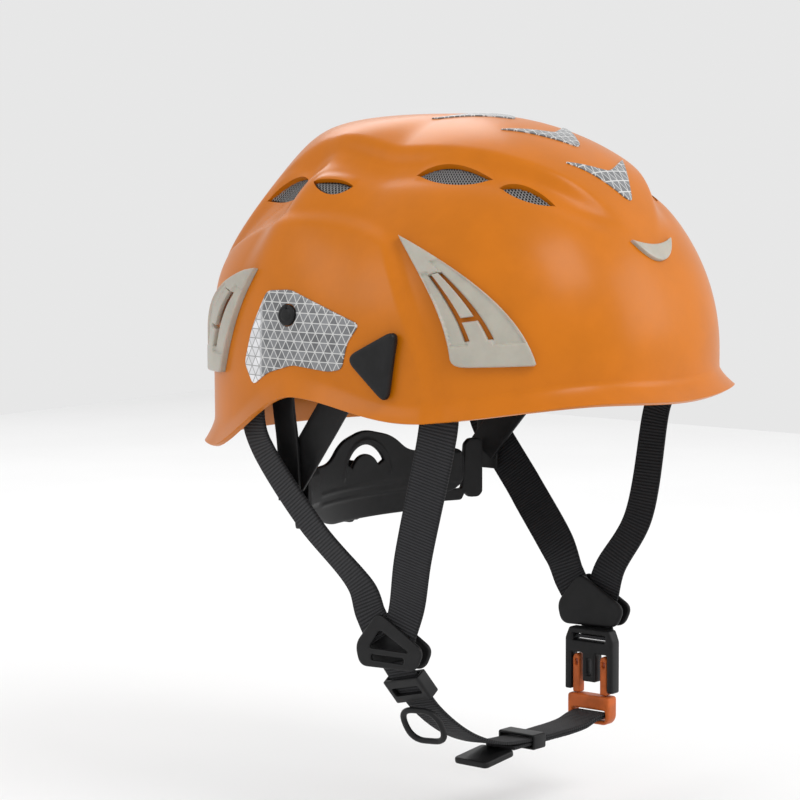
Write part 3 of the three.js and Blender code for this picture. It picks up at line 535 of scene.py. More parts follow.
def threads(name, spots, run, out, length=2.6, radius=0.32):
    """Short stitches: each is a low oval bead along run, standing out of the cloth."""
    points = []
    faces = []
    for spot, along, up in zip(spots, run, out):
        across = np.cross(along, up)
        base = len(points)
        for i in range(5):
            share = i / 4
            swell = radius * math.sin(math.pi * (0.12 + 0.76 * share))
            centre = spot + along * length * (share - 0.5) + up * 0.12 * math.sin(math.pi * share)
            points += [
                centre + across * swell * math.cos(t) + up * swell * math.sin(t)
                for t in np.arange(6) * math.pi / 3
            ]
        for i in range(4):
            for j in range(6):
                k = (j + 1) % 6
                faces.append(
                    [base + i * 6 + j, base + i * 6 + k, base + (i + 1) * 6 + k, base + (i + 1) * 6 + j]
                )
        faces.append([base + j for j in reversed(range(6))])
        faces.append([base + 24 + j for j in range(6)])
    return mesh_object(name, points, faces, None, 60)


def mirrored(source, name):
    """A left piece made from a right one."""
    mesh = source.data.copy()
    mesh.name = name
    mesh.transform(Matrix.Scale(-1, 4, (1, 0, 0)))
    mesh.flip_normals()
    made = bpy.data.objects.new(name, mesh)
    bpy.context.scene.collection.objects.link(made)
    return made


def prism(outline_uv, inner, outer):
    """A cutter square to the shell at the middle of an outline of side places."""
    loop = np.array(outline_uv)
    spots = on_side(loop[:, 0], loop[:, 1], np.zeros(len(loop)))
    middle = spots.mean(axis=0)
    centre = loop.mean(axis=0, keepdims=True)
    normal = shell_normal(*side_place(centre[:, 0] / DEGREE_MM, centre[:, 1]))[0]
    right = np.cross([0, 0, 1], normal)
    right /= np.linalg.norm(right)
    up = np.cross(normal, right)
    offsets = spots - middle
    flat = middle + np.outer(offsets @ right, right) + np.outer(offsets @ up, up)
    count = len(loop)
    points = np.concatenate([flat + normal * inner, flat + normal * outer])
    faces = [[i, (i + 1) % count, count + (i + 1) % count, count + i] for i in range(count)]
    faces += [list(reversed(range(count))), list(range(count, 2 * count))]
    return points, faces


def cutter_for(outlines, inner, outer):
    points = []
    faces = []
    for outline in outlines:
        for turn in (1, -1):
            made, sides = prism(outline, inner, outer)
            base = sum(len(p) for p in points)
            points.append(made * np.array([turn, 1, 1]))
            faces += [[base + i for i in (f if turn > 0 else reversed(f))] for f in sides]
    return mesh_object("cutter", np.concatenate(points), faces)


def cut_by(target, cutter):
    step = target.modifiers.new("openings", "BOOLEAN")
    step.operation = "DIFFERENCE"
    step.object = cutter
    step.solver = "MANIFOLD"
    applied(target)
    bpy.data.objects.remove(cutter)


def applied(target):
    """Bakes a piece's modifiers into its mesh."""
    graph = bpy.context.evaluated_depsgraph_get()
    mesh = bpy.data.meshes.new_from_object(target.evaluated_get(graph))
    target.modifiers.clear()
    target.data = mesh


def dome_skin(name, at, columns, rows, heights, thickness, edge):
    """A closed dome layer whose lower edge is rounded. at(theta, phi, distance) gives its points."""
    theta = np.arange(columns) / columns * 2 * math.pi
    low = rim_height(theta)
    levels = [
        elevation_where(columns, lambda phi, h=h: at(theta, phi, np.zeros(columns))[:, 2] > low + h)
        for h in heights
    ]
    levels += [levels[-1] + (POLE - levels[-1]) * j / rows for j in range(1, rows)]
    path = [(phi, 0.0) for phi in reversed(levels)]
    first = levels[0]
    lip = levels[1] - levels[0]
    for k in range(1, 8):
        angle = k / 8 * math.pi
        path.append((first - lip * 0.5 * math.sin(angle) * edge, -thickness * (1 - math.cos(angle)) / 2))
    path += [(phi, -thickness) for phi in levels]
    rings = [at(theta, phi, np.full(columns, depth)) for phi, depth in path]
    points = np.concatenate(
        rings + [
            at(np.zeros(1), np.full(1, POLE), np.zeros(1)),
            at(np.zeros(1), np.full(1, POLE), np.full(1, -thickness))
        ]
    )
    faces = []
    for r in range(len(rings) - 1):
        for i in range(columns):
            k = (i + 1) % columns
            faces.append([r * columns + i, r * columns + k, (r + 1) * columns + k, (r + 1) * columns + i])
    pole, under = len(points) - 2, len(points) - 1
    last = (len(rings) - 1) * columns
    for i in range(columns):
        k = (i + 1) % columns
        faces.append([pole, k, i])
        faces.append([under, last + i, last + k])
    return mesh_object(name, points, faces)


# Finishes.
class Wire:
    """A socket of a finish. Arithmetic on it adds Math nodes."""

    def __init__(self, finish, socket):
        self.finish = finish
        self.socket = socket

    def maths(self, operation, other=None, swapped=False):
        values = (other, self) if swapped else (self, other)
        inputs = {i: v for i, v in enumerate(values) if v is not None}
        return self.finish.node("ShaderNodeMath", {"operation": operation}, inputs)["Value"]

    def __add__(self, other):
        return self.maths("ADD", other)

    def __radd__(self, other):
        return self.maths("ADD", other, True)

    def __sub__(self, other):
        return self.maths("SUBTRACT", other)

    def __rsub__(self, other):
        return self.maths("SUBTRACT", other, True)

    def __mul__(self, other):
        return self.maths("MULTIPLY", other)

    def __rmul__(self, other):
        return self.maths("MULTIPLY", other, True)

    def __truediv__(self, other):
        return self.maths("DIVIDE", other)

    def sine(self):
        return self.maths("SINE")

    def whole(self):
        return self.maths("FLOOR")

    def part(self):
        return self.maths("FRACT")

    def size(self):
        return self.maths("ABSOLUTE")

    def least(self, other):
        return self.maths("MINIMUM", other)

    def most(self, other):
        return self.maths("MAXIMUM", other)

    def ramp(self, start, end, low=0.0, high=1.0):
        inputs = {"Value": self, "From Min": start, "From Max": end, "To Min": low, "To Max": high}
        return self.finish.node("ShaderNodeMapRange", {"interpolation_type": "SMOOTHSTEP"}, inputs)["Result"]


class Parts:
    """The outputs of one node."""

    def __init__(self, finish, node):
        self.finish = finish
        self.node = node

    def __getitem__(self, name):
        return Wire(self.finish, self.node.outputs[name])


class Finish:
    """A procedural material. Settings that stay the same all over are set on the shader's own sockets."""

    def __init__(self, name, colour, roughness, **constants):
        self.material = bpy.data.materials.new(name)
        self.material.use_nodes = True
        self.tree = self.material.node_tree
        self.shader = next(n for n in self.tree.nodes if n.type == "BSDF_PRINCIPLED")
        self.colour = tuple(colour[:3])
        self.shader.inputs["Base Color"].default_value = (*self.colour, 1)
        self.shader.inputs["Roughness"].default_value = roughness
        self.roughness = roughness
        for socket, value in constants.items():
            self.shader.inputs[socket.replace("_", " ").title().replace("Ior", "IOR")].default_value = value

    def node(self, kind, settings=None, inputs=None):
        made = self.tree.nodes.new(kind)
        for key, value in (settings or {}).items():
            setattr(made, key, value)
        for key, value in (inputs or {}).items():
            socket = made.inputs[key]
            if isinstance(value, Wire):
                self.tree.links.new(value.socket, socket)
            else:
                socket.default_value = value
        return Parts(self, made)

    def place(self):
        """Millimetres in the frame at rest."""
        coordinates = self.node("ShaderNodeTexCoord")["Object"]
        return self.node(
            "ShaderNodeVectorMath", {"operation": "SCALE"}, {0: coordinates, "Scale": 1 / MM}
        )["Vector"]

    def flat(self):
        """The two plate or strap coordinates of a piece, in millimetres."""
        spot = self.node("ShaderNodeAttribute", {"attribute_name": "flat"})["Vector"]
        split = self.node("ShaderNodeSeparateXYZ", inputs={0: spot})
        return split["X"], split["Y"], split["Z"]

    def noise(self, scale, detail=3.0, rough=0.5, at=None):
        inputs = {"Vector": at or self.place(), "Scale": scale, "Detail": detail, "Roughness": rough}
        return self.node("ShaderNodeTexNoise", inputs=inputs)["Fac"]

    def cells(self, scale, feature="F1", at=None):
        inputs = {"Vector": at or self.place(), "Scale": scale}
        return self.node("ShaderNodeTexVoronoi", {"feature": feature}, inputs)["Distance"]

    def chance(self, a, b, c=0.0):
        spot = self.node("ShaderNodeCombineXYZ", inputs={0: a, 1: b, 2: c})["Vector"]
        return self.node("ShaderNodeTexWhiteNoise", {"noise_dimensions": "3D"}, {"Vector": spot})["Value"]

    def blend(self, share, first, second):
        settings = {"data_type": "RGBA"}
        made = self.node("ShaderNodeMix", settings)
        for socket, value in (
            (made.node.inputs[0], share), (made.node.inputs[6], first), (made.node.inputs[7], second)
        ):
            if isinstance(value, Wire):
                self.tree.links.new(value.socket, socket)
            else:
                socket.default_value = value if isinstance(value, float) else (*value[:3], 1)
        return Wire(self, made.node.outputs[2])

    def feed(self, socket, wire):
        self.tree.links.new(wire.socket, self.shader.inputs[socket])

    def bump(self, height, depth_mm, strength=1.0):
        inputs = {"Height": height, "Distance": depth_mm * MM, "Strength": strength}
        self.feed("Normal", self.node("ShaderNodeBump", inputs=inputs)["Normal"])

    def shades(self, share, dark, light):
        darker = tuple(c * dark for c in self.colour)
        lighter = tuple(min(c * light, 1) for c in self.colour)
        self.feed("Base Color", self.blend(share, darker, lighter))


def moulded_shell(colour):
    finish = Finish(
        "shell_gloss", colour, 0.3, specular_ior_level=0.22, coat_weight=0.05, coat_roughness=0.16
    )
    patches = finish.noise(0.03, 4, 0.6)
    specks = finish.noise(2.2, 2, 0.5)
    finish.shades(patches.ramp(0.3, 0.7), 0.94, 1.04)
    finish.feed("Roughness", patches * 0.1 + specks * 0.06 + 0.26)
    finish.bump(specks * 0.7 + finish.noise(0.35, 2, 0.5) * 0.3, 0.035, 0.5)
    return finish.material


def satin_plastic(name, colour, roughness, grain=0.03, light=1.25):
    finish = Finish(name, colour, roughness, specular_ior_level=0.22)
    fine = finish.noise(6.0, 3, 0.6)
    broad = finish.noise(0.12, 3, 0.6)
    finish.shades(broad.ramp(0.35, 0.65), 0.88, light)
    finish.feed("Roughness", broad * 0.14 + fine * 0.12 + (roughness - 0.12))
    finish.bump(fine, grain, 0.7)
    return finish.material


def translucent_plastic(colour):
    finish = Finish("clip_plastic", colour, 0.38, subsurface_weight=0.25, subsurface_scale=0.004)
    broad = finish.noise(0.09, 3, 0.6)
    fine = finish.noise(5.0, 2, 0.5)
    finish.shades(broad.ramp(0.3, 0.7), 0.93, 1.04)
    finish.feed("Roughness", broad * 0.12 + fine * 0.08 + 0.28)
    finish.bump(fine, 0.02, 0.6)
    return finish.material


LINE_LIGHT = (0.6, 0.6, 0.59)
# Line colour inside the painted glint strip, where the lines are painted dark against the painted highlight.
LINE_IN_PAINTED_GLINT = (0.3, 0.3, 0.3)


def prismatic_sheet(name, colour, cell, painted_glint_from=None):
    """Reflective sheet: a grid of little triangles whose facets are painted lighter and darker as a painted
    reflection of the light they catch; painted_glint_from adds a painted glint strip.
    """
    finish = Finish(name, colour, 0.3, coat_weight=0.5, coat_roughness=0.12)
    a, b, _ = finish.flat()
    rise = cell * 0.866
    first = b / rise
    second = (a * 0.866 + b * 0.5) / rise
    third = (a * 0.866 - b * 0.5) / rise
    nearest = None
    for family in (first, second, third):
        line = (family.part() - 0.5).size() * -2 + 1
        nearest = line if nearest is None else nearest.least(line)
    ridge = nearest.ramp(0.07, 0.13)
    # Painted reflection: each facet gets its own lighter or darker tone, standing in for the light it catches;
    # the specks are random tone.
    facet = finish.chance(first.whole(), second.whole(), third.whole())
    speck = finish.noise(1.2, 2, 0.6)
    dark = tuple(c * 0.22 for c in colour)
    body = finish.blend(facet * 0.6 + speck * 0.5 - 0.1, dark, tuple(c * 0.62 for c in colour))
    if painted_glint_from is not None:
        # Painted glint: from painted_glint_from on, the sheet is painted near white as a highlight and its
        # lines are painted dark.
        strip = a.ramp(painted_glint_from - 1.5, painted_glint_from + 1.5)
        painted_glint = finish.blend(strip * (0.75 + facet * 0.25), body, (0.86, 0.86, 0.88))
        finish.feed("Base Color", finish.blend(ridge, finish.blend(strip, LINE_LIGHT, LINE_IN_PAINTED_GLINT), painted_glint))
    else:
        finish.feed("Base Color", finish.blend(ridge, LINE_LIGHT, body))
    finish.feed("Metallic", ridge * 0.35)
    finish.feed("Roughness", facet * 0.2 + 0.3)
    finish.bump(ridge * 0.7 + facet * 0.3, 0.1, 0.7)
    return finish.material


def woven_strap(colour, rib):
    finish = Finish(
        "woven_strap", colour, 0.78, specular_ior_level=0.2, sheen_weight=0.05, sheen_roughness=0.5
    )
    a, b, _ = finish.flat()
    turn = 2 * math.pi
    wave = (b * (turn / rib) + (a * (turn / (rib * 0.9))).sine() * 0.35).sine()
    cross = (a * (turn / (rib * 0.8))).sine() * (b * (turn / (rib * 0.5))).sine()
    height = wave * 0.36 + cross * 0.14 + 0.5
    selvedge = a.size().ramp(WEBBING / 2 - 1.6, WEBBING / 2 - 0.9)
    # Painted light and shade: the weave's ribs are painted lighter on their tops and darker in the grooves,
    # following the bump height; the noise is random tone, and the contrast is lower near the edges.
    finish.shades((height + finish.noise(0.5, 3, 0.6) * 0.3 - 0.15) * (1 - selvedge * 0.35), 0.3, 3.6)
    finish.feed("Roughness", finish.noise(1.5, 2, 0.5) * 0.2 + 0.68)
    finish.bump(height, 0.32, 1.0)
    return finish.material


def knitted_cover(colour):
    finish = Finish("pad_cover", colour, 0.9, specular_ior_level=0.2, sheen_weight=0.12, sheen_roughness=0.5)
    loops = finish.cells(0.9)
    fuzz = finish.noise(4, 3, 0.6)
    finish.shades(loops * 0.9 + fuzz * 0.3, 0.6, 1.9)
    finish.feed("Roughness", fuzz * 0.15 + 0.8)
    finish.bump(loops * 0.7 + fuzz * 0.3, 0.3, 0.9)
    return finish.material


def bead_foam(colour):
    finish = Finish("bead_foam", colour, 0.85)
    seams = finish.cells(0.32, "DISTANCE_TO_EDGE")
    fine = finish.noise(3, 3, 0.6)
    finish.shades(seams.ramp(0.0, 0.12) * 0.7 + fine * 0.3, 0.6, 1.25)
    finish.feed("Roughness", fine * 0.15 + 0.76)
    finish.bump(seams.ramp(0.0, 0.2), 0.25, 0.7)
    return finish.material


def wire_mesh(colour, pitch):
    """Fine insect mesh: open squares between crossing wires."""
    finish = Finish("vent_mesh_wire", colour, 0.5)
    a, b, _ = finish.flat()
    across = (((a + b) / pitch).part() - 0.5).size().ramp(0.3, 0.36)
    along = (((a - b) / pitch).part() - 0.5).size().ramp(0.3, 0.36)
    wires = across.most(along)
    finish.feed("Alpha", wires)
    finish.feed("Roughness", finish.noise(2, 2, 0.5) * 0.2 + 0.4)
    finish.bump(wires, 0.15, 0.8)
    return finish.material


def sewn_thread(colour):
    finish = Finish("sewn_thread", colour, 0.7, sheen_weight=0.3)
    fibres = finish.noise(9, 2, 0.6)
    finish.shades(fibres, 0.7, 1.2)
    finish.bump(fibres, 0.06, 0.8)
    return finish.material


def paper_floor(colour):
    finish = Finish("pale_floor", colour, 0.75)
    broad = finish.noise(0.004, 3, 0.5)
    finish.shades(broad.ramp(0.3, 0.7), 0.985, 1.01)
    finish.bump(finish.noise(0.8, 3, 0.6), 0.05, 0.2)
    return finish.material


COLOUR = {"subtype": "COLOR", "size": 3, "min": 0.0, "max": 1.0}
LENGTH = {"subtype": "DISTANCE", "unit": "LENGTH"}


class HelmetSizes(bpy.types.PropertyGroup):
    """Sizes of the fine detail."""

    hood: bpy.props.FloatProperty(
        name="Vent lip", description="How far the lip over each vent stands out", default=0.0016, **LENGTH
    )
    mesh_pitch: bpy.props.FloatProperty(
        name="Mesh pitch", description="Spacing of the wires in the vent mesh", default=0.0021, **LENGTH
    )
    rib: bpy.props.FloatProperty(
        name="Webbing rib", description="Spacing of the ribs across the webbing", default=0.0017, **LENGTH
    )
    cell: bpy.props.FloatProperty(
        name="Reflector cell", description="Side of a triangle in the reflective sheet", default=0.0054,
        **LENGTH
    )
    stitch: bpy.props.FloatProperty(
        name="Stitch length", description="Length of one stitch in the strap", default=0.0024, **LENGTH
    )
    pad_swell: bpy.props.FloatProperty(
        name="Pad pressure", description="Pressure that fills the pads", default=3.0, min=0.0, max=10.0
    )


class HelmetColours(bpy.types.PropertyGroup):
    """Colours of the helmet's materials."""

    shell: bpy.props.FloatVectorProperty(
        name="Shell", description="Moulded outer shell", default=(0.56, 0.155, 0.0015), **COLOUR
    )
    black: bpy.props.FloatVectorProperty(
        name="Black plastic", description="Buckles, plugs and cradle", default=(0.009, 0.009, 0.0095),
        **COLOUR
    )
    clip: bpy.props.FloatVectorProperty(
        name="Clips", description="Lamp clips and badge", default=(0.42, 0.395, 0.335), **COLOUR
    )
    sheet: bpy.props.FloatVectorProperty(
        name="Reflective sheet", description="Side patches and crown marks", default=(0.45, 0.46, 0.48),
        **COLOUR
    )
    strap: bpy.props.FloatVectorProperty(
        name="Webbing", description="Chin strap webbing", default=(0.011, 0.011, 0.012), **COLOUR
    )
    pad: bpy.props.FloatVectorProperty(
        name="Pad cover", description="Knitted cover of the pads", default=(0.02, 0.02, 0.022), **COLOUR
    )
    foam: bpy.props.FloatVectorProperty(
        name="Foam", description="Liner foam", default=(0.03, 0.03, 0.032), **COLOUR
    )
    mesh: bpy.props.FloatVectorProperty(
        name="Mesh", description="Insect mesh in the vents", default=(0.2, 0.2, 0.2), **COLOUR
    )
    release: bpy.props.FloatVectorProperty(
        name="Release half", description="The coloured half of the buckle", default=(0.50, 0.11, 0.022),
        **COLOUR
    )
    thread: bpy.props.FloatVectorProperty(
        name="Thread", description="Stitching", default=(0.24, 0.24, 0.25), **COLOUR
    )
    floor: bpy.props.FloatVectorProperty(
        name="Floor", description="Studio floor", default=(0.86, 0.86, 0.86), **COLOUR
    )


def sizes():
    return bpy.context.scene.helmet_sizes


def finish_for(kind):
    """The material of that kind, made once."""
    if kind in MADE:
        return MADE[kind]
    colours = bpy.context.scene.helmet_colours
    made = {
        "shell": lambda: moulded_shell(colours.shell),
        "black": lambda: satin_plastic("black_plastic", colours.black, 0.42),
        "clip": lambda: translucent_plastic(colours.clip),
        "sheet": lambda: prismatic_sheet("side_sheet", colours.sheet, sizes().cell / MM, 113.2 * DEGREE_MM),
        "crown_sheet": lambda: prismatic_sheet("crown_sheet", colours.sheet, sizes().cell / MM),
        "strap": lambda: woven_strap(colours.strap, sizes().rib / MM),
        "pad": lambda: knitted_cover(colours.pad),
        "foam": lambda: bead_foam(colours.foam),
        "mesh": lambda: wire_mesh(colours.mesh, sizes().mesh_pitch / MM),
        "release": lambda: satin_plastic("release_plastic", colours.release, 0.4, 0.03, 1.12),
        "thread": lambda: sewn_thread(colours.thread),
        "floor": lambda: paper_floor(colours.floor),
    }[kind]()
    MADE[kind] = made
    return made


MADE = {}
SLOTS = {
    "shell": "shell_orange", "black": "black_plastic", "clip": "grey_plastic", "sheet": "reflector",
    "crown_sheet": "reflector", "strap": "webbing", "pad": "pad_cloth", "foam": "liner_foam",
    "mesh": "vent_mesh", "release": "buckle_orange", "thread": "webbing",
}


def fit(piece, body, kind, *nodes):
    """Gives a piece its finish and its place in the frame."""
    piece.data.materials.clear()
    piece.data.materials.append(finish_for(kind))
    SLOTS[kind]
    if body:
        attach(piece, body)
    if nodes:
        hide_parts(*nodes)
    return piece


def fit_pair(right, name, body, kind, node):
    """Fits a right piece and makes its mirror image for the left."""
    left = mirrored(right, f"{name}_left_fine")
    for piece, side in ((right, "right"), (left, "left")):
        fit(piece, body if body == "helmet" else f"{body}_{side}", kind, f"{node}_{side}")
    return right, left


class HELMET_OT_shell(bpy.types.Operator):
    """Outer shell with its raised band, ear panels, vents and rolled edge"""

    bl_idname = "helmet.shell"
    bl_label = "Outer shell"

    def execute(self, context):
        hood = sizes().hood / MM

        def at(theta, phi, distance):
            return off_shell(theta, phi, distance, hood)

        heights = [0, 0.7, 1.6, 2.6, 3.8, 5.2, 6.8, 8.6, 10.6, 12.8, 15]
        shell = dome_skin("shell_fine", at, 540, 120, heights, SHELL_THICKNESS, 0.9)
        cut_by(shell, cutter_for([vent_outline(v) for v in VENTS], -25, 12))
        slot = [(u * DEGREE_MM, v) for u, v in rounded(ACCESSORY_SLOT, 1.5)]
        cut_by(shell, cutter_for([slot], -8, 8))
        shell.data.shade_smooth()
        shell.data.set_sharp_from_angle(angle=32 * RADIANS)
        fit(shell, "helmet", "shell", "outer_shell")
        return {"FINISHED"}


class HELMET_OT_liner(bpy.types.Operator):
    """Foam liner, and the insect mesh held between it and the shell"""

    bl_idname = "helmet.liner"
    bl_label = "Liner and vent mesh"

    def execute(self, context):
        def at(theta, phi, distance):
            return plain_point(theta, phi, distance - 6.2)

        liner = dome_skin("liner_fine", at, 180, 50, [25.4, 27, 30, 34, 39], 14.8, 0.8)
        cut_by(liner, cutter_for([vent_outline(v) for v in VENTS], -25, 12))
        liner.data.shade_smooth()
        liner.data.set_sharp_from_angle(angle=35 * RADIANS)
        fit(liner, "helmet", "foam", "foam_liner")
        pushed = [(np.array(vent_outline(vent)), -2.6) for vent in VENTS]
        strips = {
            "rear_vent_mesh": [(148, 73), (146, 82), (130, 92), (96, 91), (95, 80), (114, 76), (130, 72)],
            "front_vent_mesh": [(78, 91), (60, 99), (34, 90), (23.5, 79), (25.5, 72.5), (46, 80)],
        }
        for name, outline in strips.items():
            loop = [(u * DEGREE_MM, v) for u, v in outline]
            right = slab(f"{name}_right_fine", loop, -4.0, -3.6, on_side, edge=0.15, gap=0.8,
                         top=sunk(pushed), under=False)
            fit_pair(right, name, "helmet", "mesh", name)
        return {"FINISHED"}


FRONT_CLIP = {"rear": [(56.5, -1), (61, 31), (73, 62)], "front": [(38, 0), (49, 36), (73, 62)]}
REAR_CLIP = {"rear": [(146, -14), (138, 25), (117, 44)], "front": [(131, -12), (124, 18.7), (117, 44)]}
CLIP_LIFT = 0.4
CLIP_TOP = 3.6


def clip_place(clip, across, along):
    spots = []
    for edge in ("rear", "front"):
        start, middle, end = clip[edge]
        control = [2 * middle[k] - (start[k] + end[k]) / 2 for k in range(2)]
        weights = (1 - along) ** 2, 2 * along * (1 - along), along ** 2
        spots.append(
            [weights[0] * start[k] + weights[1] * control[k] + weights[2] * end[k] for k in range(2)]
        )
    rear, front = spots
    return (rear[0] + (front[0] - rear[0]) * across) * DEGREE_MM, rear[1] + (front[1] - rear[1]) * across


def clip_run(clip, across, start, end, steps=10):
    return [clip_place(clip, across, start + (end - start) * i / steps) for i in range(steps + 1)]


def clip_band(clip, rear, front, low, high):
    return np.array(clip_run(clip, rear, low, high) + clip_run(clip, front, high, low))


def sunk(polygons):
    """A face pattern: each polygon is sunk by its depth with a soft edge."""

    def top(a, b):
        points = np.stack([a, b], axis=1)
        total = np.zeros(len(a))
        for polygon, depth in polygons:
            reach = reach_to(points, [polygon])
            inside = inside_of(points, [polygon])
            signed = np.where(inside, reach, -reach)
            total -= depth * smooth(signed, -0.35, 0.55)
        return total

    return top


class HELMET_OT_lamp_clips(bpy.types.Operator):
    """The four lamp clips and their spring tongues"""

    bl_idname = "helmet.lamp_clips"
    bl_label = "Lamp clips"

    def execute(self, context):
        for side, clip in (("front", FRONT_CLIP), ("rear", REAR_CLIP)):
            outline = clip_run(clip, 0, 0.08, 0.92, 20) + [
                clip_place(clip, 0.5, 0.995)
            ] + clip_run(clip, 1, 0.92, 0.03, 20)
            outline += [
                clip_place(clip, *spot)
                for spot in ((0.97, 0.02), (0.2, 0.02), (0.11, 0.024), (0.05, 0.036), (0.015, 0.056))
            ]
            window = clip_run(clip, 0.24, 0.2, 0.68) + clip_run(clip, 0.62, 0.68, 0.2)
            window += clip_run(clip, 0.55, 0.2, 0.33, 3) + clip_run(clip, 0.31, 0.33, 0.2, 3)
            strips = [
                (clip_band(clip, 0.03, 0.275, 0.17, 0.7), 1.3),
                (clip_band(clip, 0.585, 0.97, 0.16, 0.76), 1.3),
            ]
            body = slab(
                f"{side}_lamp_clip_right_fine", outline, CLIP_LIFT - 0.3, CLIP_TOP, on_side, holes=[window],
                edge=1.0, gap=0.6, top=sunk(strips), under=False)
            fit_pair(body, f"{side}_lamp_clip", "helmet", "clip", f"{side}_lamp_clip")
            tongue = clip_run(clip, 0.33, 0.36, 0.676) + clip_run(clip, 0.53, 0.676, 0.36)
            piece = slab(
                f"{side}_clip_tongue_right_fine", tongue, CLIP_LIFT + 0.9, CLIP_TOP, on_side, edge=0.4,
                gap=0.6
            )
            fit_pair(piece, f"{side}_clip_tongue", f"{side}_tongue", "clip", f"{side}_clip_tongue")
        return {"FINISHED"}


SIDE_PATCH = [
    (112, 33.5), (104, 34.6), (80.8, 19.5), (84.2, 10), (85.8, -3), (90, -4.6), (102, -2.6), (111, -7.6),
    (116.5, -14.6), (120, -4), (117, 13.7),
]
SIDE_PLUG = [(84, 3), (68.6, 18.6), (71.4, -19)]


class HELMET_OT_side_trim(bpy.types.Operator):
    """Reflective side patches, round plugs and the pull-out plugs of the accessory sockets"""

    bl_idname = "helmet.side_trim"
    bl_label = "Side trim"

    def execute(self, context):
        outline = rounded([(u * DEGREE_MM, v) for u, v in SIDE_PATCH], 3, 5)
        spot = (104 * DEGREE_MM, 22)
        sheet = slab(
            "side_reflector_right_fine", outline, 0.0, 0.75, on_side, holes=[circle(*spot, 5.6)],
            edge=0.3, gap=1.3, under=False)
        fit_pair(sheet, "side_reflector", "helmet", "sheet", "side_reflector")

        def button(a, b):
            reach = np.hypot(a - spot[0], b - spot[1])
            turn = np.abs(np.arctan2(a - spot[0], b - spot[1]))
            notch = 0.7 * (1 - smooth(np.abs(turn), 0.1, 0.2)) * smooth(reach, 2.6, 3.2)
            return 0.45 * (1 - (reach / 5.2) ** 2) - 0.3 * np.exp(-((reach - 3.4) / 0.35) ** 2) - notch

        plug = slab(
            "round_plug_right_fine", circle(*spot, 5.2), 0.0, 1.9, on_side, edge=0.6, gap=0.55, top=button,
            under=False
        )
        fit_pair(plug, "round_plug", "helmet", "black", "round_plug")
        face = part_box("side_plug_right")[0][0] / MM
        corners = rounded([(u * DEGREE_MM, v) for u, v in SIDE_PLUG], 7, 10)

        def plug_at(a, b, height):
            base = on_side(a, b, np.full(len(a), 0.5))
            share = height / 10
            made = base.copy()
            made[:, 0] = base[:, 0] + (face - base[:, 0]) * share
            return made

        field = rounded([(u * DEGREE_MM, v) for u, v in shrunk(SIDE_PLUG, 0.16)], 3, 5)
        rim = sunk([(resampled(field, 1.0, 1), 0.9)])
        piece = slab("side_plug_right_fine", corners, 0, 10, plug_at, edge=3.4, gap=0.8, top=rim)
        fit_pair(piece, "side_plug", "plug", "black", "side_plug")
        return {"FINISHED"}


def shrunk(corners, share):
    middle = [sum(c[k] for c in corners) / len(corners) for k in range(2)]
    return [tuple(c[k] + (middle[k] - c[k]) * share for k in range(2)) for c in corners]


CHEVRONS = [
    ("crown_mark_top", 28, 3, -32, -14),
    ("crown_mark_middle", 28, -41, -72, -55),
    ("crown_mark_front", 26, -79, -103, -88.5),
]


def thinned(loop, least=4.0):
    """Keeps the corners of an outline and drops points that crowd them."""
    kept = []
    for point in loop:
        if not kept or math.dist(point, kept[-1]) > least:
            kept.append(point)
    if math.dist(kept[0], kept[-1]) < least:
        kept.pop()
    return kept


class HELMET_OT_crown_marks(bpy.types.Operator):
    """Reflective chevrons along the crown and the badge over the brow"""

    bl_idname = "helmet.crown_marks"
    bl_label = "Crown marks and badge"

    def execute(self, context):
        for name, tip_x, tip_y, outer_y, inner_y in CHEVRONS:
            outer = bent_edge(
                (-tip_x, tip_y), (-tip_x * 0.42, (tip_y + 2 * outer_y) / 3 + 2), (0, outer_y), 14
            )
            inner = bent_edge((-tip_x, tip_y), (-tip_x * 0.42, (tip_y + 2 * inner_y) / 3), (0, inner_y), 14)
            right = outer + [(0, outer_y)]
            left = [(-x, y) for x, y in reversed(outer)]
            back = [(-x, y) for x, y in inner[1:]] + [(0, inner_y)] + list(reversed(inner[1:]))
            mark = slab(
                f"{name}_fine", rounded(thinned(right + left + back), 3.2, 5), 0.0, 0.75, on_top, edge=0.3,
                gap=1.1, under=False
            )
            fit(mark, "helmet", "crown_sheet", name)
        tip, low, high = (8.6, 59.2), 48.8, 56.6
        wide, rise = tip[0] * DEGREE_MM, tip[1]
        loop = bent_edge((-wide, rise), (0, low), (wide, rise), 24) + bent_edge(
            (wide, rise), (0, high), (-wide, rise), 24
        )
        badge = slab("front_badge_fine", loop, 0.0, 2.2, on_side, edge=0.7, gap=0.7, under=False)
        fit(badge, "helmet", "clip", "front_badge")
        return {"FINISHED"}


def on_brow(around, z, inset):
    """Places on the headband's oval: millimetres round from the brow, height, distance in."""
    theta = around / 94.0
    return np.stack([-(84 - inset) * np.sin(theta), -(104 - inset) * np.cos(theta), z], axis=-1)


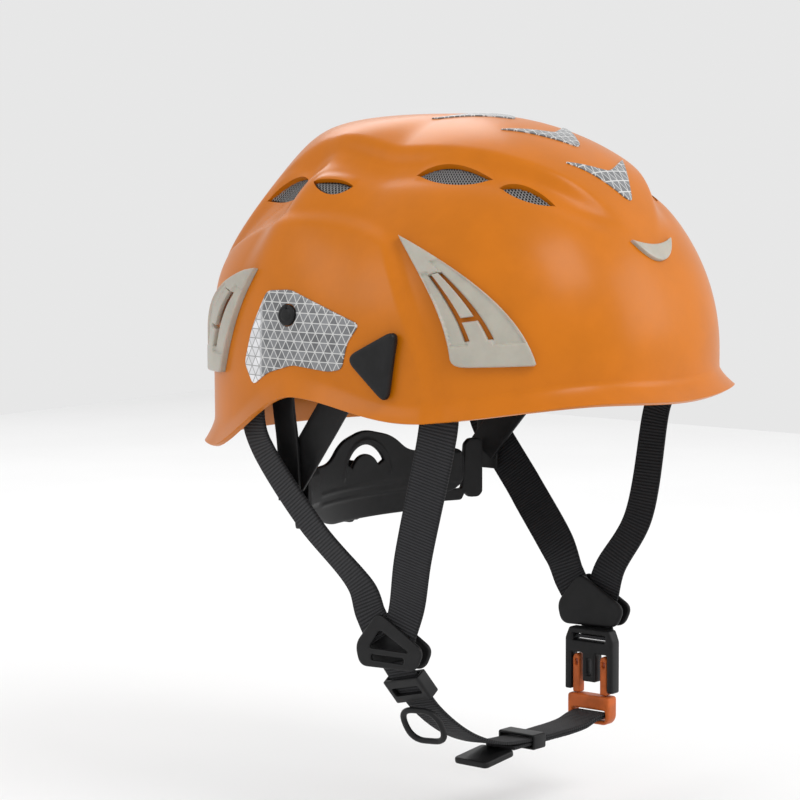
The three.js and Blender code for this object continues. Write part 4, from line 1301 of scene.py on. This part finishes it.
def plumped(piece, voxel, pressure, cap):
    """A stuffed pad: remeshed, blown up a little as cloth, then smoothed."""
    step = piece.modifiers.new("even", "REMESH")
    step.mode = "VOXEL"
    step.voxel_size = voxel
    applied(piece)
    start = np.empty(len(piece.data.vertices) * 3)
    piece.data.vertices.foreach_get("co", start)
    cloth = piece.modifiers.new("swell", "CLOTH")
    cloth.settings.quality = 5
    cloth.settings.mass = 0.2
    cloth.settings.use_pressure = True
    cloth.settings.uniform_pressure_force = pressure
    cloth.settings.effector_weights.gravity = 0
    cloth.settings.tension_stiffness = 40
    cloth.settings.compression_stiffness = 40
    cloth.collision_settings.use_collision = False
    scene = bpy.context.scene
    for moment in range(1, 13):
        scene.frame_set(moment)
    applied(piece)
    scene.frame_set(1)
    swollen = np.empty(len(start))
    piece.data.vertices.foreach_get("co", swollen)
    move = (swollen - start).reshape(-1, 3)
    size = np.maximum(np.linalg.norm(move, axis=1, keepdims=True), 1e-9)
    move *= np.minimum(size, cap) / size
    piece.data.vertices.foreach_set("co", (start.reshape(-1, 3) + move).ravel())
    step = piece.modifiers.new("fine", "SUBSURF")
    step.levels = 1
    applied(piece)
    piece.data.shade_smooth()
    return piece


class HELMET_OT_headband(bpy.types.Operator):
    """Brow band with its pad, and the pad under the crown"""

    bl_idname = "helmet.headband"
    bl_label = "Headband and pads"

    def execute(self, context):
        reach = 97 * RADIANS * 94.0
        holes = [rectangle(turn * 118, 1, 16, 4, 1.9) for turn in (-1, 1)]
        outline = rectangle(0, 1, 2 * reach, 26, 6)
        band = slab("brow_band_fine", outline, 0.0, 1.8, on_brow, holes=holes, edge=0.7, gap=2.0)
        fit(band, "helmet", "black", "brow_band")
        span = 62 * RADIANS * 94.0

        pad = slab(
            "brow_pad_fine", rectangle(0, 1, 2 * span - 3, 17.5, 5), 2.5, 5.4, on_brow, edge=1.2, gap=2.0
        )
        plumped(pad, 0.0018, sizes().pad_swell, 0.0011)
        fit(pad, "helmet", "pad", "brow_pad")

        def under_crown(x, y, depth):
            theta, phi = plain_top(x, y)
            return plain_point(theta, phi, -21 - depth)

        slots = [rectangle(x, -5, 15.5, 71.5, 5) for x in (-17, 17)]
        crown = slab(
            "crown_pad_fine", rectangle(0, -5, 76, 122, 20), 0.9, 4.1, under_crown, holes=slots, edge=1.3,
            gap=2.2
        )
        plumped(crown, 0.0019, sizes().pad_swell, 0.0009)
        fit(crown, "helmet", "pad", "crown_pad")
        return {"FINISHED"}


def plain_top(x, y):
    theta = np.arctan2(-x, -y)
    reach = np.hypot(x, y)

    def test(phi):
        spot = plain_point(theta, phi, -21)
        return (phi > 0) & (np.hypot(spot[:, 0], spot[:, 1]) < reach)

    return theta, elevation_where(len(theta), test)


class HELMET_OT_nape_cradle(bpy.types.Operator):
    """Nape cradle with its racks, cover, dial and pinion"""

    bl_idname = "helmet.nape_cradle"
    bl_label = "Nape cradle"

    def execute(self, context):
        outline = rounded([
            (-67, -63), (-34, -63), (-22, -53), (0, -48), (22, -53), (34, -63), (67, -63),
            (67, -84), (34, -96), (-34, -96), (-67, -84)], 7, 6)
        arc = [(r * math.sin(t), -74 + r * math.cos(t)) for r, sweep in ((17.5, 1), (12.5, -1))
               for t in np.linspace(-62, 62, 19)[::sweep] * RADIANS]

        def ribs(x, z):
            return smooth(48 - np.abs(x), 0, 5)

        cradle = slab("nape_cradle_fine", outline, -1.25, 1.25, on_nape, holes=[arc], edge=0.8, gap=0.9)
        vertices = np.empty(len(cradle.data.vertices) * 3)
        cradle.data.vertices.foreach_get("co", vertices)
        spots = vertices.reshape(-1, 3) / MM
        radius = np.hypot(spots[:, 0], spots[:, 1] - NAPE_CENTRE_Y)
        inner = radius < NAPE_RADIUS - 0.3
        x, z = spots[:, 0], spots[:, 2]
        rib = sum(np.exp(-((z - level) / 0.75) ** 2) for level in (-78.5, -84)) * ribs(x, z)
        plate = smooth(np.abs(x), 49, 50.2) * smooth(
            66 - np.abs(x), 0, 1.2
        ) * smooth(z, -82.5, -81.5) * smooth(-z, 64.5, 65.5)
        lip = np.exp(-((np.hypot(x, z + 74) - 19.8) / 1.0) ** 2) * smooth(z, -75, -72)
        push = np.where(inner, 0.45 * rib + 0.9 * plate + 0.7 * lip, 0)
        spots[:, 0] -= spots[:, 0] / radius * push
        spots[:, 1] -= (spots[:, 1] - NAPE_CENTRE_Y) / radius * push
        cradle.data.vertices.foreach_set("co", (spots * MM).ravel())
        fit(cradle, "cradle", "black", "nape_cradle")
        cover = slab("gear_cover_fine", rectangle(0, DIAL_Z, 64, 27, 6), 3.2, 7.0, on_nape,
                     holes=[circle(0, DIAL_Z, 4.1)], edge=1.2, gap=1.3)
        fit(cover, "cradle", "black", "gear_cover")
        for side, name in ((-1, "right"), (1, "left")):
            level = DIAL_Z - side * 7
            low, high = level - 3.3, level + 3.3
            loop = [(-14, low), (68, low), (70, -88.5), (72.5, -91.5), (77, -91.5), (79, -89), (79, -61),
                    (77, -58.5), (72.5, -58.5), (70, -61.5), (68.5, high), (-14, high)]
            loop = [(side * x, z) for x, z in loop]
            made = slab(f"rack_{name}_fine", rounded(loop, 1.2, 3), 1.75, 4.15, on_nape, edge=0.6, gap=1.3)
            fit(made, f"rack_{name}", "black", f"rack_{name}")
        self.dial()
        return {"FINISHED"}

    def dial(self):
        low, high = (np.array(corner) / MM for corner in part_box("dial_knob"))
        radius = (high[0] - low[0]) / 2
        sides = 216
        turn = np.arange(sides) / sides * 2 * math.pi
        grip = 0.5 + 0.5 * np.cos(turn * 18)
        profile = [
            (0.0, 8.2, 0), (0.45, 8.2, 0), (0.62, 8.0, 0), (0.66, 8.8, 0), (0.84, 9.0, 0.1), (0.93, 8.7, 0.5),
            (0.985, 8.0, 0.9), (1.0, 6.8, 1), (1.0, 4.5, 1), (1.0, 2.0, 1), (0.985, 0.8, 0.9), (0.94, 0.1, 0.4),
            (0.88, 0.0, 0)
        ]
        rows = []
        for share, out, depth in profile[1:]:
            reach = radius * share - 1.3 * depth * grip ** 2
            rows.append(
                np.stack(
                    [reach * np.cos(turn), np.full(sides, low[1] + out), DIAL_Z + reach * np.sin(turn)],
                    axis=1
                )
            )
        points = np.concatenate(
            rows + [np.array([[0, low[1] + 8.2, DIAL_Z]]), np.array([[0, low[1], DIAL_Z]])]
        )
        faces = []
        for r in range(len(rows) - 1):
            for i in range(sides):
                k = (i + 1) % sides
                faces.append([r * sides + i, r * sides + k, (r + 1) * sides + k, (r + 1) * sides + i])
        for i in range(sides):
            k = (i + 1) % sides
            faces.append([len(points) - 2, i, k])
            faces.append([len(points) - 1, (len(rows) - 1) * sides + k, (len(rows) - 1) * sides + i])
        knob = mesh_object("dial_knob_fine", points, faces)
        fit(knob, "dial", "black", "dial_knob")
        near, far = (np.array(corner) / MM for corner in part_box("pinion_gear"))
        gear = []
        for i in range(72):
            angle = i / 72 * 2 * math.pi
            reach = 2.75 + 0.45 * math.tanh(3 * math.cos(angle * 9))
            gear.append((reach * math.cos(angle), reach * math.sin(angle)))
        facing = through(Matrix(((1, 0, 0, 0), (0, 0, 1, 0), (0, 1, 0, DIAL_Z), (0, 0, 0, 1))))
        pinion = slab("pinion_gear_fine", gear, near[1], far[1], facing, edge=0.25, gap=0.35)
        fit(pinion, "dial", "clip", "pinion_gear")


class HELMET_OT_side_arms(bpy.types.Operator):
    """Side straps of the headband and the arms that hang from the shell"""

    bl_idname = "helmet.side_arms"
    bl_label = "Side straps and arms"

    def execute(self, context):
        strap = ribbon(
            "side_strap_right_fine",
            [(-86.4, -2, -3), (-86.2, 12, -16), (-84.4, 28, -36), (-82, 44, -56), (-81.3, 51, -65)],
            (0, 0.786, 0.62), (0, 0.786, 0.62), 18, 2, 60, 0.6)
        fit_pair(strap, "side_strap", "strap", "black", "side_strap")
        arm = ribbon(
            "hanging_arm_right_fine",
            [(-90, 50, -15), (-88.8, 50, -28), (-86.2, 50, -44), (-85, 50, -58), (-84.8, 50, -76)],
            (0, 1, 0), (0, 1, 0), 14, 2, 60, 0.6)
        fit_pair(arm, "hanging_arm", "arm", "black", "hanging_arm")
        return {"FINISHED"}


DIVIDERS = {"right": (-1, 76, -11, -143), "left": (1, 74.5, -30, -141)}
LEG_OFFSET = 1.25


class HELMET_OT_strap_legs(bpy.types.Operator):
    """The front and rear legs of the chin strap and their anchors under the shell's edge"""

    bl_idname = "helmet.strap_legs"
    bl_label = "Strap legs"

    def execute(self, context):
        level = (0, 1, 0)
        for name, (side, x, y, z) in DIVIDERS.items():
            front_wall = (side * 0.4, 0.92, 0)
            rear_wall = (-side * 0.31, 0.95, 0)
            front = ribbon(f"front_webbing_{name}_fine", [
                (side * 98.4, -57, -13.4), (side * 98.6, -57, -27), (side * 97.4, -54, -39), (
                    side * 86, y - 20, z + 45
                ),
                (side * (x + LEG_OFFSET), y - 9, z + 18), (side * (x + LEG_OFFSET), y - 4, z + 2),
            ], front_wall, level, WEBBING, WEBBING_THICK, 140, 0.6)
            fit(front, "helmet", "strap", f"front_webbing_{name}")
            rear = ribbon(f"rear_webbing_{name}_fine", [
                (side * 98.9, 62, -19.4), (side * 98, 62, -36), (side * 95.4, 59, -48),
                (side * 86.5, (y + 79) / 2, (z - 31) / 2), (side * (x - LEG_OFFSET), y + 22, z + 25),
                (side * (x - LEG_OFFSET), y + 16, z + 12), (side * (x - LEG_OFFSET), y + 9, z + 1),
            ], rear_wall, level, WEBBING, WEBBING_THICK, 140, 0.6)
            fit(rear, "helmet", "strap", f"rear_webbing_{name}")
            for end, spot, across in (
                ("front", (98.2, -57, -8), front_wall), ("rear", (98.9, 62, -14), rear_wall)
            ):
                wide = Vector(across).normalized()
                out = wide.cross(Vector((0, 0, 1)))
                place = Matrix.Translation((side * spot[0], spot[1], spot[2])) @ Matrix(
                    ((wide.x, 0, out.x, 0), (wide.y, 0, out.y, 0), (wide.z, 1, out.z, 0), (0, 0, 0, 1)))
                block = slab(
                    f"{end}_anchor_{name}_fine", rectangle(0, 0, 22, 10, 2), -1.6, 1.6, through(place),
                    edge=0.8, gap=1.2
                )
                fit(block, "helmet", "black", f"{end}_anchor_{name}")
        return {"FINISHED"}


class HELMET_OT_dividers(bpy.types.Operator):
    """The dividers where the strap legs meet"""

    bl_idname = "helmet.dividers"
    bl_label = "Dividers"

    def execute(self, context):
        for name, (side, x, y, z) in DIVIDERS.items():
            corners = [(y + a, z + b) for a, b in ((7, 15), (22, -3), (19, -14), (-17, -13), (-22, -2))]
            outline = rounded(corners, 5, 8)
            window = rounded([(y + a, z + b) for a, b in ((6, 6), (13, -4), (-13, -4))], 2, 5)
            slot = rectangle(y + 1, z - 8.6, 21, 3, 1)
            outer = slab(
                f"divider_frame_{name}_fine", outline, x + 2.5, x + 4.7, upright(turn=side),
                holes=[window, slot], edge=0.9, gap=0.9
            )
            fit(outer, "helmet", "black", f"divider_frame_{name}")
            inner = slab(
                f"divider_plate_{name}_fine", outline, x - 4.7, x - 2.5, upright(turn=side), edge=0.9, gap=1.1
            )
            fit(inner, "helmet", "black", f"divider_plate_{name}")
        return {"FINISHED"}


CHIN_HEIGHT = -203.8
CHIN_LINE = [
    (-76, -12, -154), (-71, -15, -163.2), (-61, -20, -178.5), (-44, -26, -193), (-22, -29.5, -201.6),
    (0, -31, CHIN_HEIGHT), (37, -32.6, CHIN_HEIGHT),
]
CHIN_ACROSS = (0.1, 1, -0.2)
CHIN_LEVEL = (0.03, 1, 0)
BUCKLE_X, BUCKLE_Y, BUCKLE_TOP = 68, -33, -155
LOOP_LEVEL = BUCKLE_TOP - 46.5


def strap_place(centre, along, across):
    """Plate coordinates of a fitting on a strap: a across it, b along it, height through it."""
    run = Vector(along).normalized()
    wide = Vector(across)
    wide = (wide - run * wide.dot(run)).normalized()
    out = wide.cross(run)
    return Matrix.Translation(centre) @ Matrix(
        ((wide.x, run.x, out.x, 0), (wide.y, run.y, out.y, 0), (wide.z, run.z, out.z, 0), (0, 0, 0, 1))
    )


def sleeve(name, length, opening, wall, matrix):
    outline = rectangle(0, 0, WEBBING + 2 * (wall + 0.6), opening + 2 * wall, 1.4)
    hole = rectangle(0, 0, WEBBING + 1.2, opening, 0.3)
    on_end = Matrix.Rotation(POLE, 4, "X")
    return slab(
        name, outline, -length / 2, length / 2, through(matrix @ on_end), holes=[hole], edge=0.7, gap=0.6
    )


class HELMET_OT_chin_strap(bpy.types.Operator):
    """Chin webbing with its stitching, adjuster, pull ring, keeper and end tip"""

    bl_idname = "helmet.chin_strap"
    bl_label = "Chin strap"

    def execute(self, context):
        upper = threaded(CHIN_LINE, 120)
        loop = [
            (50, -33, CHIN_HEIGHT + 0.8), (57, BUCKLE_Y, -201.5), (62.4, BUCKLE_Y, LOOP_LEVEL + 0.7),
            (68, BUCKLE_Y, LOOP_LEVEL + 0.7)
        ]
        line = [tuple(p) for p in upper[::3]] + loop
        main_strap = ribbon(
            "chin_webbing_fine", line, CHIN_ACROSS, CHIN_LEVEL, WEBBING, WEBBING_THICK, 220, 0.6
        )
        fit(main_strap, None, "strap", "chin_webbing")
        lower = CHIN_HEIGHT - 1.65
        tail_line = [
            (-12, -30.4, lower - 0.2), (0, -31, lower), (20, -31.9, lower), (37, -32.6, lower),
            (50, -33, lower + 0.8), (57, BUCKLE_Y, -203.1), (62.4, BUCKLE_Y, LOOP_LEVEL - 0.95),
            (68, BUCKLE_Y, LOOP_LEVEL - 0.95)
        ]
        tail = ribbon(
            "chin_webbing_double_fine", tail_line, CHIN_LEVEL, CHIN_LEVEL, WEBBING - 0.6, WEBBING_THICK, 120,
            0.6
        )
        fit(tail, None, "strap", "chin_webbing_loop")
        seam = threaded(tail_line, 160)
        seam = seam[(seam[:, 0] > 14) & (seam[:, 0] < 61)]
        wide, out = strip_frames(seam, CHIN_LEVEL, CHIN_LEVEL)
        walked = np.concatenate([[0], np.cumsum(np.linalg.norm(np.diff(seam, axis=0), axis=1))])
        spots, runs, ups = [], [], []
        pitch = sizes().stitch / MM * 1.45
        for side, face in ((-1, -1), (-1, 1), (1, -1), (1, 1)):
            for distance in np.arange(0.5, walked[-1], pitch):
                k = int(np.searchsorted(walked, distance))
                k = min(max(k, 1), len(seam) - 2)
                run = seam[k + 1] - seam[k - 1]
                run /= np.linalg.norm(run)
                down = out[k] if out[k][2] < 0 else -out[k]
                spots.append(seam[k] + wide[k] * side * 8.2 + down * (WEBBING_THICK / 2 + 0.05) * face)
                runs.append(run)
                ups.append(down * face)
        seams = threads("chin_stitching", spots, runs, ups, sizes().stitch / MM)
        fit(seams, None, "thread")
        for piece in (main_strap, tail, seams):
            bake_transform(piece)
        adjuster_place = strap_place((-68.95, -16.05, -166.4), (10, -5, -15.8), CHIN_ACROSS)
        adjuster = sleeve("strap_adjuster_fine", 14, 3.4, 2.2, adjuster_place)
        window = slab(
            "window_cutter", rectangle(0, 0, 19.4, 5.2, 1.2), -7, 7, through(adjuster_place), edge=0.2,
            gap=1.2
        )
        cut_by(adjuster, window)
        adjuster.data.shade_smooth()
        adjuster.data.set_sharp_from_angle(angle=35 * RADIANS)
        fit(adjuster, "helmet", "black", "strap_adjuster")
        keeper = sleeve(
            "strap_keeper_fine", 10, 5.2, 1.4,
            strap_place((6, -31.3, CHIN_HEIGHT - 0.7), (1, -0.03, 0), (0, 1, 0))
        )
        fit(keeper, "keeper", "black", "strap_keeper")
        ring_place = strap_place((-64.3, -20.7, -186.9), (0.5, -0.1, -1), (0, 1, 0))

        def oval(width, height):
            return rounded(
                [(-width, -height), (width, -height), (width, height), (-width, height)], height * 0.95, 9
            )

        ring = slab(
            "adjuster_ring_fine", oval(13.5, 11), -1.5, 1.5, through(ring_place), holes=[oval(10.4, 8)],
            edge=1.35, gap=0.7
        )
        fit(ring, "helmet", "black", "adjuster_ring")
        tip_place = strap_place((-25, -29.6, CHIN_HEIGHT - 4.9), (1, -0.04, 0.12), (0, 1, 0))
        ribs = [(resampled(rectangle(0, b, 17, 1.5, 0.5), 0.7, 1), 0.5) for b in (-7, -4, -1)]
        tip = slab(
            "strap_end_tip_fine", rectangle(0, 0, 22, 24, 3), -1.7, 1.7, through(tip_place), edge=1.0,
            gap=0.8, top=sunk(ribs)
        )
        fit(tip, "helmet", "black", "strap_end_tip")
        return {"FINISHED"}


class HELMET_OT_buckle(bpy.types.Operator):
    """Side-release buckle: the black half, the coloured half and its two prongs"""

    bl_idname = "helmet.buckle"
    bl_label = "Buckle"

    def execute(self, context):
        def at(points):
            return [(BUCKLE_Y + a, BUCKLE_TOP - b) for a, b in points]

        body = rounded(at([
            (-13, 0), (13, 0), (15.5, 6), (15.5, 34), (11.6, 34), (11.6, 13.5), (4.2, 13.5), (4.2, 29),
            (-4.2, 29), (-4.2, 13.5), (-11.6, 13.5), (-11.6, 34), (-15.5, 34), (-15.5, 6)]), 1.1, 4)
        holes = [
            rectangle(BUCKLE_Y, BUCKLE_TOP - 5, WEBBING + 1, 3.6, 0.8),
            rectangle(BUCKLE_Y, BUCKLE_TOP - 21, 3, 9, 1.3)
        ]
        half = slab(
            "buckle_frame_fine", body, BUCKLE_X - 3.6, BUCKLE_X + 3.6, upright(), holes=holes, edge=1.1,
            gap=0.7
        )
        fit(half, "helmet", "black", "buckle_frame")
        strap = ribbon("buckle_webbing_fine", [
            (74.5, -31, -145.6), (74.5, -31.6, -154), (74, -32.4, -158.6), (
                71.6, BUCKLE_Y, -160
            ), (67, BUCKLE_Y, -160),
        ], (0, 1, 0), (0, 1, 0), WEBBING, WEBBING_THICK, 60, 0.6)
        fit(strap, "helmet", "strap", "buckle_webbing")
        block = rounded(at([(-13.5, 36), (13.5, 36), (13.5, 48), (11, 51.5), (-11, 51.5), (-13.5, 48)]), 2, 5)
        bars = [at([(-11, b), (11, b), (11, b + 1.1), (-11, b + 1.1)]) for b in (38, 40.4)]
        ribs = [(resampled(bar, 0.8, 1), 0.5) for bar in bars]
        plug = slab("buckle_plug_fine", block, BUCKLE_X - 4, BUCKLE_X + 4, upright(),
                    holes=[rectangle(BUCKLE_Y, LOOP_LEVEL, WEBBING + 1.4, 5.4, 1.2)], edge=1.2, gap=0.7,
                    top=sunk(ribs))
        fit(plug, "buckle_half", "release", "buckle_plug")
        for name, side in (("front", -1), ("rear", 1)):
            prong = at(
                [
                    (side * a, b)
                    for a, b in ((6.6, 35.6), (6.6, 16), (8, 14.5), (9.6, 14.5), (11, 16), (11, 35.6))
                ]
            )
            eye = rectangle(BUCKLE_Y + side * 8.8, BUCKLE_TOP - 19, 1.8, 3.4, 0.8)
            made = slab(f"buckle_prong_{name}_fine", rounded(prong, 1, 4), BUCKLE_X - 2.6, BUCKLE_X + 2.6,
                        upright(), holes=[eye], edge=0.8, gap=0.55)
            fit(made, f"prong_{name}", "release", f"buckle_prong_{name}")
        return {"FINISHED"}


FLOOR_DROP = 0.034


class HELMET_OT_studio(bpy.types.Operator):
    """Pale floor, soft lights and the camera"""

    bl_idname = "helmet.studio"
    bl_label = "Studio"

    def execute(self, context):
        low = FRAME_BOX[0][2]
        reach = 1.6
        count = 60
        points = []
        for row in range(count):
            for column in range(count):
                x = reach * (2 * column / (count - 1) - 1)
                y = reach * (2 * row / (count - 1) - 1)
                points.append((x / MM, y / MM, (low - FLOOR_DROP) / MM))
        faces = [[r * count + c, r * count + c + 1, (r + 1) * count + c + 1, (r + 1) * count + c]
                 for r in range(count - 1) for c in range(count - 1)]
        floor = mesh_object("studio_floor", points, faces)
        floor.data.materials.append(finish_for("floor"))
        world = bpy.data.worlds.new("studio_air")
        bpy.context.scene.world = world
        world.use_nodes = True
        world.node_tree.nodes["Background"].inputs["Color"].default_value = (1, 1, 1, 1)
        world.node_tree.nodes["Background"].inputs["Strength"].default_value = 0.8
        for name, spot, size, power in (
                ("key_light", (-0.2, -1.5, 1.5), 0.9, 14), ("side_light", (-1.7, 0.9, 0.9), 0.7, 5),
                ("rim_light", (0.9, 1.1, 1.2), 0.9, 8), ("front_light", (0.9, -1.2, 0.5), 0.8, 5)):
            lamp = bpy.data.lights.new(name, "AREA")
            lamp.size = size
            lamp.energy = power
            made = bpy.data.objects.new(name, lamp)
            made.location = spot
            made.rotation_euler = (Vector((0, 0, 0)) - Vector(spot)).to_track_quat("-Z", "Y").to_euler()
            bpy.context.scene.collection.objects.link(made)
        context.scene.view_settings.view_transform = "Standard"
        view = bpy.data.cameras.new("camera")
        view.sensor_width = 36
        view.lens = 129.2
        view.shift_x = -0.0843
        view.shift_y = -0.0664
        view.clip_start = 0.05
        made = bpy.data.objects.new("camera", view)
        spot = Vector((-1.1936, -0.8994, 0.1281))
        made.location = spot
        made.rotation_euler = (-spot).to_track_quat("-Z", "Y").to_euler()
        bpy.context.scene.collection.objects.link(made)
        bpy.context.scene.camera = made
        return {"FINISHED"}


MAKERS = [
    HELMET_OT_studio, HELMET_OT_shell, HELMET_OT_liner, HELMET_OT_lamp_clips, HELMET_OT_side_trim,
    HELMET_OT_crown_marks, HELMET_OT_headband, HELMET_OT_nape_cradle, HELMET_OT_side_arms,
    HELMET_OT_strap_legs, HELMET_OT_dividers, HELMET_OT_chin_strap, HELMET_OT_buckle,
]


class HELMET_PT_pieces(bpy.types.Panel):
    """Lists the helmet's makers, sizes and colours"""

    bl_label = "Helmet"
    bl_idname = "HELMET_PT_pieces"
    bl_space_type = "VIEW_3D"
    bl_region_type = "UI"
    bl_category = "Helmet"

    def draw(self, context):
        for group in (context.scene.helmet_sizes, context.scene.helmet_colours):
            column = self.layout.column(align=True)
            for name in type(group).__annotations__:
                column.prop(group, name)
        for maker in MAKERS:
            self.layout.operator(maker.bl_idname)


CLASSES = [HelmetSizes, HelmetColours, *MAKERS, HELMET_PT_pieces]


def register():
    for item in CLASSES:
        bpy.utils.register_class(item)
    bpy.types.Scene.helmet_sizes = bpy.props.PointerProperty(type=HelmetSizes)
    bpy.types.Scene.helmet_colours = bpy.props.PointerProperty(type=HelmetColours)


def unregister():
    del bpy.types.Scene.helmet_colours
    del bpy.types.Scene.helmet_sizes
    for item in reversed(CLASSES):
        bpy.utils.unregister_class(item)


def main():
    register()
    for maker in MAKERS:
        group, name = maker.bl_idname.split(".")
        getattr(getattr(bpy.ops, group), name)()


if __name__ == "__main__":
    main()
